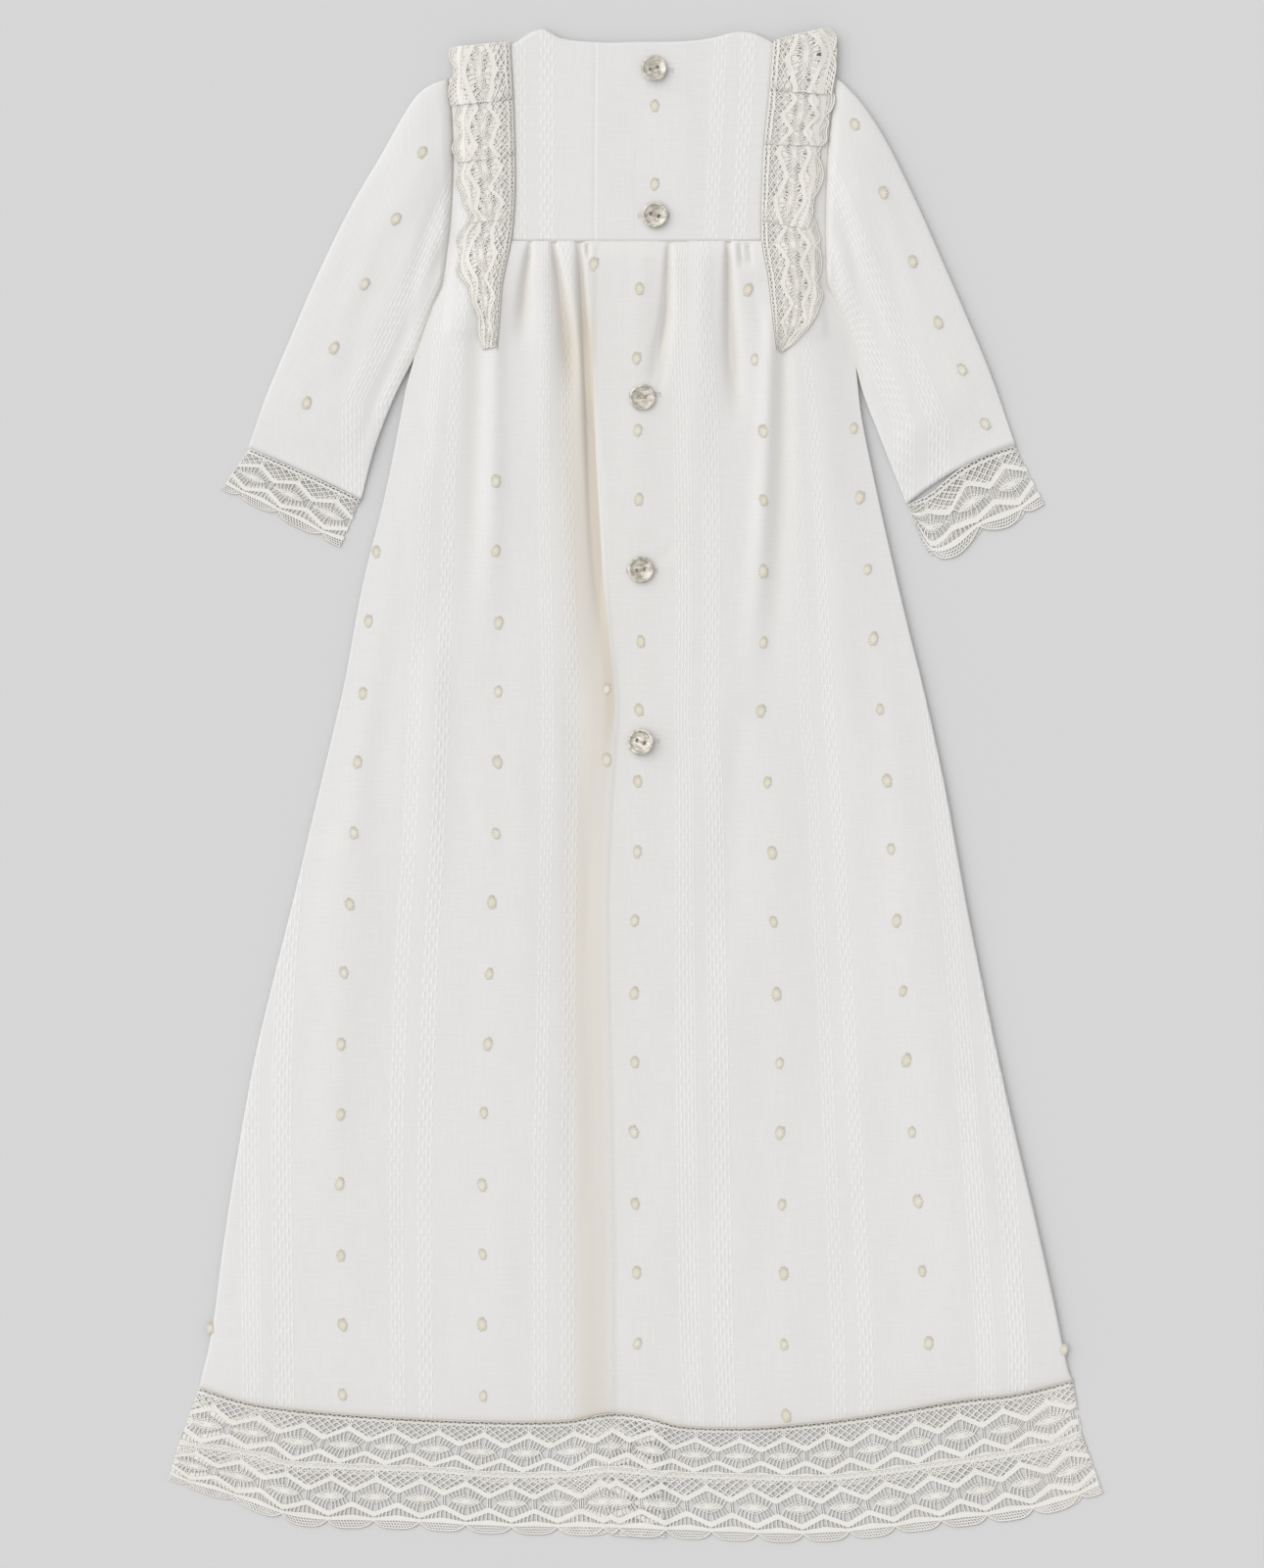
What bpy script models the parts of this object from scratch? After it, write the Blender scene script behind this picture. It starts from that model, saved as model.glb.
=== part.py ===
"""Christening gown laid flat on its front, with the buttoned back upwards.

Pattern sizes below are in millimetres: x runs from the middle of the yoke to the right, y runs up
from the lowest scallop of the hem, z up from the surface the gown lies on. Each cloth panel is a
grid put in place, laid on what is under it, and given the thickness of its wall.
"""
import math

import bmesh
import bpy
from mathutils import Matrix, Vector
from mathutils.bvhtree import BVHTree

MM = 0.001
WALL = 1.0                      # cloth and lace wall
SEAM_GAP = 0.3                  # clearance between pieces
BACK_FLOOR = WALL + SEAM_GAP    # underside of the back where it lies on the front
PIECE_GAP = 0.5                 # plan clearance beside a curved seam
HEM_GAP = 0.8                   # plan clearance between the skirt and its lace
ROW_GAP = 0.8                   # plan clearance between the two rows of lace

YOKE_SEAM = 663.5               # height of the seam between yoke and gathered skirt
SKIRT_HEM = 60.0                # mean height of the cloth's lower edge
UNDERLAP_TOP_X = 21.0           # hidden edge of the underlap at the yoke
UNDERLAP_HEM_X = 16.0           # and at the hem
LACE_REPEAT = 23.4              # one repeat of the bobbin lace
LACE_HOLE_WIDTH = 4.4           # largest gap of each repeat
LACE_HOLE_HEIGHT = 5.8
LACE_DEPTH = 29.0               # one row of lace from edge to edge
LACE_HOLE_PLACE = 0.48          # the gap's middle as a part of that depth
SCALLOP_DEPTH = 2.6
RUFFLE_RISE = 1.5               # each tier's lower edge stands this far off the next tier
SLEEVE_HEIGHT = 4.0             # a laid sleeve from floor to top
SLEEVE_EDGE = 1.15              # height of the fold along a laid sleeve
BUTTON_DIAMETER = 13.0
BUTTON_HEIGHT = 2.4
BUTTON_RIM = 1.5
BUTTON_HOLE = 1.5
BUTTON_HOLE_SPACING = 3.4

# Outlines, as (height y, x) or (x, height y)
LEFT_SIDE = [(79, -222.5), (107, -216), (152, -210), (197, -203), (247, -194), (287, -184.5),
             (327, -174.5), (367, -165), (407, -155.5), (437, -148.5), (488, -139), (534.5, -127.5),
             (575, -119.2), (589.5, -115.5), (614, -106.6), (637, -99.6)]
RIGHT_SIDE = [(82.5, 223.8), (87, 221.5), (127, 213), (167, 204), (207, 194.5), (247, 185.5),
              (287, 177), (327, 169), (387, 158), (437, 147), (467, 139.5), (507, 130),
              (541.5, 122.3), (575, 114.6), (604, 110.2), (619, 107.2), (631, 102.6), (640, 98.6)]
LEFT_SEAM = [(62, -77.5), (200, -78), (450, -74), (537, -72), (600, -70.5), (626.5, -68.5),
             (642.5, -67.2), (663.5, -63), (689, -61), (725.5, -61.5), (764, -63.5)]
RIGHT_SEAM = [(62, 81), (200, 78), (337, 70), (462, 63.5), (507, 66), (537, 67.5), (567, 70),
              (606.5, 71.8), (618.5, 70.5), (646.5, 67.5), (663.5, 64.6), (708.5, 65.5),
              (738, 68.3), (765.3, 70.5)]
PLACKET = [(0, -12), (62, -12), (187, -13), (312, -15), (362, -14), (402, -11.5), (429.5, -10),
           (462, -13), (512, -17.5), (569.5, -20.5), (663.5, -20.5), (772, -20)]
SHOULDER_LEFT = [(-95.5, 746), (-63.5, 764)]
SHOULDER_RIGHT = [(70.5, 765.3), (103.5, 747)]
NECKLINE = [(-63.5, 764), (-56, 768), (-47.5, 772.2), (-37.7, 767.5), (-16.5, 765.3), (0, 765.6),
            (25.5, 766), (41, 768), (50.5, 770.5), (60.5, 770), (70.5, 765.3)]
FRONT_NECKLINE = [(-63.5, 764), (-47.5, 772), (-38, 757), (-15, 741), (3, 738), (22, 741),
                  (41, 756), (50.5, 770), (70.5, 765.3)]
HEM = [(-222.5, 79), (-199, 71.5), (-172.5, 67.5), (-121.5, 63.5), (-70.5, 61.5), (-34.5, 62),
       (-12, 65.8), (6, 64), (23.5, 59.3), (55, 58.2), (77, 59.5), (112.8, 63.5), (166.3, 72.5),
       (193.5, 75.5), (223.8, 82.5)]
LACE_JOIN = [(-232.5, 51.5), (-193, 46), (-177.5, 41.5), (-152, 40), (-101, 38), (-68.5, 35.5),
             (-32.5, 36), (-13, 38.5), (16.5, 36), (55, 34.8), (97.5, 34.2), (152.5, 40.8),
             (207.5, 49.7), (228, 56)]
LACE_EDGE = [(-238.5, 32), (-225.5, 26.5), (-206.5, 20.5), (-187, 13), (-167.5, 8), (-121.5, 6.7),
             (-75.5, 4.4), (-32.5, 3.5), (4, 2.5), (30.5, 1.5), (75.8, 0), (99, 0.5), (122.5, 2.5),
             (145.5, 5.6), (167.5, 8), (191, 10.8), (217, 16), (239, 25)]
HEM_ENDS = (-222.5, 223.8)
JOIN_ENDS = (-232.5, 228.0)
EDGE_ENDS = (-238.5, 239.0)

# Gathers and creases: name, line through (x, y) top, middle and end, height (negative: a valley),
# half width at the top and at the end
CREASES = [
    ("gather_1", (-53.5, 661), (-56, 640), (-57.5, 612), -2.4, 2.2, 5.0),
    ("gather_2", (-41.5, 661), (-36, 625), (-31.5, 585), -2.6, 2.4, 5.5),
    ("gather_3", (-28.5, 661), (-23.5, 585), (-17, 465), -2.8, 2.6, 4.5),
    ("gather_3_short", (-24, 661), (-24, 658), (-24, 655), -1.4, 1.6, 1.6),
    ("gather_4", (17.5, 661), (16, 625), (10, 590), -2.2, 2.0, 4.5),
    ("gather_5", (47.5, 661), (49, 620), (52, 575), -2.6, 2.2, 5.5),
    ("gather_6", (53.5, 661), (54, 657), (55, 652), -1.4, 1.6, 2.0),
    ("gather_7", (57.5, 661), (58, 657), (59, 652), -1.4, 1.6, 2.0),
    ("left_ridge", (-70.5, 640), (-72, 560), (-74, 470), 1.3, 4.0, 7.0),
    ("left_valley", (-80, 630), (-82, 560), (-84, 470), -0.8, 5.0, 7.0),
    ("right_ridge", (69, 625), (66, 545), (60, 450), 1.4, 3.5, 6.0),
    ("right_valley", (76, 612), (75, 545), (70, 440), -1.0, 3.5, 7.0),
    ("fold_between", (-47.5, 655), (-46, 620), (-45, 540), 0.9, 4.5, 9.0),
    ("placket_shadow", (-30, 437), (-29, 270), (-28, 90), -0.8, 8.0, 9.0),
    ("left_drape", (-102, 455), (-104, 390), (-107, 300), 0.9, 7.0, 9.0),
    ("right_drape", (52, 420), (50, 365), (49, 300), -0.6, 7.0, 9.0),
    ("far_left_drape", (-140, 380), (-152, 250), (-166, 110), 0.7, 10.0, 16.0),
    ("far_right_drape", (132, 400), (146, 260), (160, 110), 0.7, 10.0, 16.0),
]
PUFF = [(60, 0.5), (300, 0.8), (480, 1.2), (590, 2.0), (640, 2.9), (655, 2.6), (661, 1.2),
        (663.5, 0.3), (680, 0.15), (772, 0.1)]
PUFF_MARGIN = 22.0              # the puff dies away over this width at the side seams

# Rows of the body panels: height, how far the row follows the shoulder, how far the hem
BODY_ROWS = [(664, 0, 0), (659.5, 0, 0), (654, 0, 0), (648, 0, 0), (641, 0, 0), (633, 0, 0), (621, 0, 0),
             (605, 0, 0), (586, 0, 0), (562, 0, 0), (532, 0, 0), (497, 0, 0), (453, 0, 0),
             (402, 0, 0), (345, 0, 0), (285, 0, 0.05), (220, 0, 0.3), (155, 0, 0.6),
             (100, 0, 0.85), (SKIRT_HEM, 0, 1)]
STRAP_ROWS = [(755, 1, 0), (733, 0.7, 0), (711, 0.3, 0), (687, 0, 0)]
FRONT_ROWS = [(664, 0, 0), (652, 0, 0), (641, 0, 0), (633, 0, 0), (620, 0, 0), (603, 0, 0), (586, 0, 0),
              (550, 0, 0), (508, 0, 0), (445, 0, 0), (362, 0, 0), (262, 0, 0.1), (150, 0, 0.6),
              (SKIRT_HEM, 0, 1)]

# Sleeves: outer edge, inner edge and bow of each section towards the hand
LEFT_SLEEVE = [((-96.0, 747), (-100.2, 639), -4.2), ((-111.5, 737.5), (-102.8, 635), -2.0),
               ((-130, 706.5), (-107.6, 622.5), -0.6), ((-146.5, 678), (-113, 607), 0),
               ((-163.5, 642.5), (-120.5, 590.5), 0), ((-176.5, 612), (-128.5, 571.5), 0),
               ((-188, 584.5), (-134.5, 554), 0), ((-197, 558.5), (-140, 532.5), -0.6)]
RIGHT_SLEEVE = [((103.5, 747), (99.2, 641), -2.9), ((116, 733.5), (103, 634), -1.4),
                ((128.5, 714), (108.2, 622.5), -0.5), ((143.5, 683.5), (112.6, 606), 0),
                ((157, 653), (117.8, 584), 0), ((169, 625.5), (124.4, 566.5), 0),
                ((181.5, 595.5), (131.5, 548.5), -1.4), ((194, 559.8), (139, 530), -3.2)]
SLEEVE_STATIONS = 11            # points across one layer of a sleeve
# Soft creases of the sleeves: section at start and end, place across at start and end, height
LEFT_SLEEVE_CREASES = [(0.2, 3.2, 0.55, 0.86, -0.9), (0.4, 5.5, 0.3, 0.35, 0.5),
                       (0.0, 1.6, 0.82, 0.9, -0.8)]
RIGHT_SLEEVE_CREASES = [(0.1, 3.0, 0.5, 0.84, -0.8), (0.5, 5.5, 0.28, 0.3, 0.5)]

# Cuff lace: joint with the sleeve and free edge, from the outer to the inner side
CUFFS = {
    "left": {"joint": [(0, -197.2, 558.0), (0.5, -168.6, 545.4), (1, -140.2, 532.0)],
             "edge": [(0, -211.5, 537.5), (0.5, -184, 524), (0.85, -160, 512), (1, -150.5, 508)],
             "scallops": 2.8},
    "right": {"joint": [(0, 194.2, 559.2), (0.2, 183.5, 556.1), (0.4, 172, 551.0),
                        (0.58, 162.5, 544.5), (0.79, 151, 534.6), (1, 139.2, 529.4)],
              "edge": [(0, 209, 530), (0.3, 191, 518.5), (0.5, 177, 514.5), (0.68, 164, 503.5),
                       (0.84, 151.5, 503), (1, 143.2, 519)],
              "scallops": 3.2},
}
CUFF_COLUMNS = 13
CUFF_ROWS = 4

# Back ruffles: free edge (x, y) and seam height of each row; a row marked True starts a tier
LEFT_RUFFLE = [
    ((-94, 762), 765, True), ((-94.7, 757), 760, False), ((-92, 752), 753, False),
    ((-95, 745), 746, False), ((-93.5, 734), 737, False), ((-93, 733.2), 736.2, True),
    ((-91.5, 724), 728, False), ((-92.7, 712), 719, False), ((-92.4, 704), 708, False),
    ((-92, 703.2), 707.2, True), ((-91.5, 689), 695, False), ((-86, 680), 686, False),
    ((-84.5, 674), 676, False), ((-86.5, 673.2), 675.2, True), ((-91.5, 662.5), 665, False),
    ((-90.5, 648), 652, False), ((-86, 639.5), 643, False), ((-83.5, 629), 633, False),
    ((-78, 614), 622, False), ((-74, 604.5), 612, False), ((-70.6, 606.5), 608, False)]
RIGHT_RUFFLE = [
    ((99, 772.2), 765.3, True), ((102.5, 771), 762, False), ((104.5, 760), 755, False),
    ((102.5, 745), 744, False), ((99.8, 740.4), 740, False), ((101.4, 739.6), 739.2, True),
    ((101.4, 727), 730, False), ((97.2, 725), 723, False), ((99.8, 717), 716, False),
    ((98.5, 713.6), 713, False), ((94.5, 712.8), 712.2, True), ((96.3, 703), 703, False),
    ((95, 691.5), 692, False), ((90, 681.7), 682, False), ((88.5, 672), 675, False),
    ((92.5, 671.2), 674.2, True), ((96.3, 660.5), 661, False), ((93.5, 655), 653, False),
    ((96.3, 645.5), 643, False), ((94.5, 631), 631, False), ((90, 621.5), 621, False),
    ((81, 615), 612, False), ((72.6, 606.5), 607.5, False)]
RUFFLE_COLUMNS = 7
FRONT_RUFFLE_WIDTH = 21.0
FRONT_RUFFLE_ROWS = 22
RUFFLE_POINT_Y = 624.0          # where the front ruffles end

# Buttons: x, y, tilt about x and about y in degrees
BUTTONS = [(9.6, 751.7, -7, 6), (10.2, 677.1, 2, 0), (3.8, 584.0, 0, 2), (3.0, 496.2, 0, 2),
           (3.2, 408.5, 0, -11)]

FOOTPRINT_MIDDLE = (0.25, 386.1)
COLLECTION = "christening_gown"


# ---------------------------------------------------------------- curves
def smooth(rows, at):
    """Value at a position on the smooth curve through (position, value) rows."""
    rows = sorted(rows)
    if at <= rows[0][0]:
        return rows[0][1]
    if at >= rows[-1][0]:
        return rows[-1][1]
    upper = next(k for k in range(1, len(rows)) if rows[k][0] >= at)
    (start, low), (end, high) = rows[upper - 1], rows[upper]
    span = end - start
    part = (at - start) / span
    leave = slope(rows, upper - 1) * span
    arrive = slope(rows, upper) * span
    return ((2 * part ** 3 - 3 * part ** 2 + 1) * low + (part ** 3 - 2 * part ** 2 + part) * leave
            + (3 * part ** 2 - 2 * part ** 3) * high + (part ** 3 - part ** 2) * arrive)


def slope(rows, index):
    before, after = max(index - 1, 0), min(index + 1, len(rows) - 1)
    return (rows[after][1] - rows[before][1]) / (rows[after][0] - rows[before][0])


def straight(rows, at):
    """Value at a position on the straight-sided line through (position, value) rows."""
    rows = sorted(rows)
    for (start, low), (end, high) in zip(rows, rows[1:]):
        if at <= end:
            return low + (high - low) * max(0.0, (at - start) / (end - start))
    return rows[-1][1]


def blend(low, high, part):
    return low + (high - low) * part


def ease(value):
    value = min(1.0, max(0.0, value))
    return value * value * (3 - 2 * value)


# ---------------------------------------------------------------- heights
def crease_height(x, y):
    """Sum of the gathers, ridges and troughs at a point of the back."""
    total = 0.0
    for _name, top, middle, end, height, width_top, width_end in CREASES:
        if y > top[1] + width_top or y < end[1] - width_end:
            continue
        line = [(end[1], end[0]), (middle[1], middle[0]), (top[1], top[0])]
        part = (top[1] - y) / (top[1] - end[1])
        width = blend(width_top, width_end, min(1.0, max(0.0, part)))
        fade = ease((1.15 - part) / 0.6) * ease((part + 0.12) / 0.2)
        across = (x - smooth(line, y)) / width
        total += height * fade * math.exp(-across * across)
    return total


def front_bottom(x, y):
    """Underside of the front: flat, but for the lace ruffles it lies on."""
    under = highest(["front_ruffle_left", "front_ruffle_right"], x, y, 10.0)
    return under + SEAM_GAP if under else 0.0


def back_bottom(x, y):
    """Underside of the back panels where they lie on the front."""
    puff = smooth(PUFF, y)
    side = min(x - left_side(y), right_side(y) - x)
    fade = ease(side / PUFF_MARGIN)
    return over_front(x, y) + max(0.0, (puff + crease_height(x, y)) * fade)


def over_front(x, y):
    """Lowest place for the back above the front."""
    if y < RUFFLE_POINT_Y - 20 or -55 < x < 55:
        return BACK_FLOOR
    return max(BACK_FLOOR, highest(["front_body"], x, y, 6.0) + SEAM_GAP)


def bodice_bottom(x, y):
    return BACK_FLOOR + 0.2 + 0.35 * math.sin(x / 21.0) ** 2 * ease((772 - y) / 60)


# ---------------------------------------------------------------- cloth
tops = {}


def finish(name, bm, material, smooth_shading=True):
    """Make the object of a closed mesh given in millimetres, and remember its surface."""
    shift = Matrix.Translation((-FOOTPRINT_MIDDLE[0], -FOOTPRINT_MIDDLE[1], 0))
    bmesh.ops.recalc_face_normals(bm, faces=bm.faces)
    tops[name] = BVHTree.FromBMesh(bm)
    bmesh.ops.transform(bm, matrix=Matrix.Scale(MM, 4) @ shift, verts=bm.verts)
    mesh = bpy.data.meshes.new(name)
    bm.to_mesh(mesh)
    bm.free()
    if smooth_shading:
        mesh.shade_smooth()
        mesh.set_sharp_from_angle(angle=math.radians(45))
    mesh.materials.append(material)
    piece = bpy.data.objects.new(name, mesh)
    bpy.data.collections[COLLECTION].objects.link(piece)
    return piece


def highest(names, x, y, reach):
    """Highest surface of the named pieces within reach of a point, or zero."""
    found = 0.0
    ring = [(0.0, 0.0)]
    for radius in (reach / 3, reach * 2 / 3, reach):
        ring += [(radius * math.cos(k * math.pi / 4), radius * math.sin(k * math.pi / 4))
                 for k in range(8)]
    for name in names:
        for dx, dy in ring:
            hit = tops[name].ray_cast(Vector((x + dx, y + dy, 60.0)), Vector((0, 0, -1)))[0]
            if hit is not None:
                found = max(found, hit.z)
    return found


def panel(name, material, columns, rows, place, bottom, left_out=None, wall=WALL):
    """Cloth panel: place(column, row) gives x and y, bottom(x, y) the underside's height."""
    bm = bmesh.new()
    bmesh.ops.create_grid(bm, x_segments=columns, y_segments=rows, size=0.5)
    cell = {}
    for vert in bm.verts:
        cell[vert] = (round((vert.co.x + 0.5) * columns), round((0.5 - vert.co.y) * rows))
    if left_out:
        gone = [face for face in bm.faces
                if left_out(min(cell[v][0] for v in face.verts), min(cell[v][1] for v in face.verts))]
        bmesh.ops.delete(bm, geom=gone, context="FACES")
    for vert in bm.verts:
        x, y = place(*cell[vert])
        vert.co = (x, y, bottom(x, y))
    bm.normal_update()
    rise = {vert.index: wall / max(0.62, abs(vert.normal.z)) for vert in bm.verts}
    heights = [(vert.co.copy(), rise[vert.index]) for vert in bm.verts]
    extruded = bmesh.ops.extrude_face_region(bm, geom=bm.faces[:])
    top = [item for item in extruded["geom"] if isinstance(item, bmesh.types.BMVert)]
    by_place = {(round(co.x, 4), round(co.y, 4)): lift for co, lift in heights}
    for vert in top:
        vert.co.z += by_place[(round(vert.co.x, 4), round(vert.co.y, 4))]
    return finish(name, bm, material)


def guided(lines, counts):
    """Column finder: lines are functions of height, with a number of columns between each two."""
    spans = []
    for index, count in enumerate(counts):
        spans += [(index, step / count) for step in range(count)]
    spans.append((len(counts) - 1, 1.0))

    def column_x(column, y):
        index, part = spans[column]
        return blend(lines[index](y), lines[index + 1](y), part)
    return column_x, len(spans) - 1


def body_rows(rows):
    """Row finder: rows bend to the shoulder line above and to the hem below."""
    def row_y(row, x):
        height, to_shoulder, to_hem = rows[row]
        shoulder = straight(SHOULDER_LEFT if x < 0 else SHOULDER_RIGHT, x) - 755
        return height + to_shoulder * shoulder + to_hem * (smooth(HEM, x) - SKIRT_HEM)
    return row_y


def body_place(column_x, row_y, rows):
    def place(column, row):
        x = column_x(column, rows[row][0])
        y = row_y(row, x)
        for _settle in range(3):
            x = column_x(column, y)
            y = row_y(row, x)
        if rows[row][2] == 1:
            y += HEM_GAP
        return x, y
    return place


def armhole(sections, y):
    """Place of the armhole seam, the first section of a sleeve."""
    outer, inner, bow = sections[0]
    part = min(1.0, (outer[1] - y) / (outer[1] - inner[1]))
    to_hand = math.copysign(1.0, outer[0])
    return blend(outer[0], inner[0], part) + to_hand * bow * 4 * part * (1 - part)


def left_side(y):
    under_arm = LEFT_SLEEVE[0][1][1]
    if y > under_arm:
        return armhole(LEFT_SLEEVE, y) + PIECE_GAP
    return smooth(LEFT_SIDE, y)


def right_side(y):
    under_arm = RIGHT_SLEEVE[0][1][1]
    if y > under_arm:
        return armhole(RIGHT_SLEEVE, y) - PIECE_GAP
    return smooth(RIGHT_SIDE, y)


def left_seam(y):
    return smooth(LEFT_SEAM, y) - (PIECE_GAP if y > YOKE_SEAM else 0)


def right_seam(y):
    return smooth(RIGHT_SEAM, y) + (PIECE_GAP if y > YOKE_SEAM else 0)


def placket(y):
    return smooth(PLACKET, y)


def underlap(y):
    return straight([(62, UNDERLAP_HEM_X), (400, UNDERLAP_TOP_X), (772, UNDERLAP_TOP_X)], y)


def gather(index):
    """Guide line down the gather, straightened towards the hem."""
    _name, top, middle, end = CREASES[index][:4]
    hem_x = end[0] * 1.15
    return lambda y: smooth([(60, hem_x), (end[1], end[0]), (middle[1], middle[0]),
                             (top[1], top[0]), (772, top[0])], y)


def make_front(cotton):
    rows = STRAP_ROWS + FRONT_ROWS
    lines = [left_side, left_seam, placket, right_seam, right_side]
    column_x, columns = guided(lines, [5, 5, 6, 5])
    strap_rows = len(STRAP_ROWS)
    panel("front_body", cotton, columns, len(rows) - 1,
          body_place(column_x, body_rows(rows), rows), front_bottom,
          lambda column, row: row < strap_rows and 5 <= column < 16)
    yoke("front_yoke", cotton, yoke_left_edge, yoke_right_edge, FRONT_NECKLINE, 14,
         lambda x, y: 0.0)


def yoke(name, material, left_line, right_line, neckline, columns, bottom):
    """Yoke panel between two upright lines, from the seam up to the neckline."""
    rows = 6
    low = YOKE_SEAM + 2 * PIECE_GAP

    def place(column, row):
        y = low
        for _settle in range(4):
            x = blend(left_line(y), right_line(y), column / columns)
            y = blend(smooth(neckline, x), low, row / rows)
        return x, y
    return panel(name, material, columns, rows, place, bottom)


def yoke_left_edge(y):
    return left_seam(y) + 2 * PIECE_GAP


def yoke_right_edge(y):
    return right_seam(y) - 2 * PIECE_GAP


def make_back(cotton):
    strap_rows = len(STRAP_ROWS)
    rows = STRAP_ROWS + BODY_ROWS
    side_columns = 7
    left_lines = [left_side, left_seam, gather(0), gather(1), gather(2), placket, underlap]
    column_x, columns = guided(left_lines, [side_columns, 3, 4, 4, 3, 3])
    panel("back_body_left", cotton, columns, len(rows) - 1,
          body_place(column_x, body_rows(rows), rows), back_bottom_left,
          lambda column, row: row < strap_rows and column >= side_columns)
    right_lines = [placket, gather(4), gather(5), right_seam, right_side]
    counts = [8, 6, 4, side_columns]
    column_x, columns = guided(right_lines, counts)

    def over_left(x, y):
        under = highest(["back_body_left"], x, y, 5.6)
        return max(back_bottom(x, y), under + SEAM_GAP)
    panel("back_body_right", cotton, columns, len(rows) - 1,
          body_place(column_x, body_rows(rows), rows), over_left,
          lambda column, row: row < strap_rows and column < columns - side_columns)

    yoke("back_yoke_left", cotton, yoke_left_edge, underlap, NECKLINE, 10, bodice_bottom)

    def over_yoke(x, y):
        under = highest(["back_yoke_left"], x, y, 7.0)
        return max(bodice_bottom(x, y), under + SEAM_GAP)
    yoke("back_yoke_right", cotton, placket, yoke_right_edge, NECKLINE, 14, over_yoke)


def back_bottom_left(x, y):
    """The underlap lies flat under the overlap."""
    flat = ease((x - smooth(PLACKET, y)) / 6 + 0.2)
    full = back_bottom(x, y)
    calm = BACK_FLOOR + smooth(PUFF, y) * 0.45
    return blend(full, min(full, calm), flat)


# ---------------------------------------------------------------- lace
def lace_row(name, material, upper, lower, upper_ends, lower_ends, span, first, scalloped, bottom,
             fine, step_x=None):
    """One row of the hem's lace between two curves, span given as parts of the gown's width.

    The repeat's columns sit at its notch, beside its hole and, on fine rows, on its scallop. One
    more column lets the overlap step down where the underlap ends.
    """
    width = lower_ends[1] - lower_ends[0]
    half_hole = LACE_HOLE_WIDTH / 2 / LACE_REPEAT
    marks = [0.5 - half_hole, 0.5 + half_hole]
    if scalloped:
        marks = [0.0, 0.2] + marks + [0.8] if fine else [0.0] + marks
    places = []
    repeat = math.floor((span[0] * width - first) / LACE_REPEAT) - 1
    while first + repeat * LACE_REPEAT < span[1] * width:
        for mark in marks:
            part = (first + (repeat + mark) * LACE_REPEAT) / width
            if span[0] + 0.004 < part < span[1] - 0.004:
                places.append((part, mark))
        repeat += 1
    if step_x is not None:
        step = part_at(lower_ends, step_x)
        mark = ((step * width - first) / LACE_REPEAT) % 1.0
        places = [place for place in places if abs(place[0] - step) > 0.003] + [(step, mark)]
        places.sort()
    places = [(span[0], 0.0)] + places + [(span[1], 0.0)]
    half_height = LACE_HOLE_HEIGHT / 2 / LACE_DEPTH
    depth_rows = [0.0, LACE_HOLE_PLACE - half_height, LACE_HOLE_PLACE + half_height, 1.0]
    if fine:
        depth_rows.insert(2, LACE_HOLE_PLACE)

    def place(column, row):
        part, mark = places[column]
        depth = depth_rows[row]
        x_upper = blend(*upper_ends, part)
        x_lower = blend(*lower_ends, part)
        y_upper = smooth(upper, x_upper) - ROW_GAP / 2
        y_lower = smooth(lower, x_lower) + ROW_GAP / 2
        if scalloped:
            y_lower -= ROW_GAP / 2
            y_lower += SCALLOP_DEPTH * abs(2 * mark - 1) ** 2.6
        narrow = 0.35 if fine and row in (1, 3) else 1.0
        if 0.3 < mark < 0.7 and 0 < row < len(depth_rows) - 1:
            shift = (mark - 0.5) * (narrow - 1) * LACE_REPEAT
            x_upper += shift
            x_lower += shift
        return blend(x_upper, x_lower, depth), blend(y_upper, y_lower, depth)

    def hole(column, row):
        opens = 0.3 < places[column][1] < 0.5 and 0.5 < places[min(column + 1, len(places) - 1)][1]
        return opens and 0 < row < len(depth_rows) - 2
    return panel(name, material, len(places) - 1, len(depth_rows) - 1, place, bottom, hole)


def part_at(ends, x):
    return (x - ends[0]) / (ends[1] - ends[0])


def make_hem_lace(lace):
    first = 5.0
    rows = {"upper": (HEM, LACE_JOIN, HEM_ENDS, JOIN_ENDS, first + LACE_REPEAT / 2, False),
            "lower": (LACE_JOIN, LACE_EDGE, JOIN_ENDS, EDGE_ENDS, first, True)}
    for key, (upper, lower, upper_ends, lower_ends, start, scalloped) in rows.items():
        lace_row(f"front_hem_lace_{key}", lace, upper, lower, upper_ends, lower_ends, (0, 1),
                 start, scalloped, lambda x, y: 0.0, False)
        left = f"back_hem_lace_{key}_left"
        lace_row(left, lace, upper, lower, upper_ends, lower_ends,
                 (0, part_at(lower_ends, UNDERLAP_HEM_X)), start, scalloped,
                 lambda x, y: BACK_FLOOR + 0.2, True)

        def over_left(x, y, under=left):
            return max(BACK_FLOOR + 0.2, highest([under], x, y, 3.0) + SEAM_GAP)
        lace_row(f"back_hem_lace_{key}_right", lace, upper, lower, upper_ends, lower_ends,
                 (part_at(lower_ends, smooth(PLACKET, 20)), 1), start, scalloped, over_left, True,
                 UNDERLAP_HEM_X + 1.2)


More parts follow.
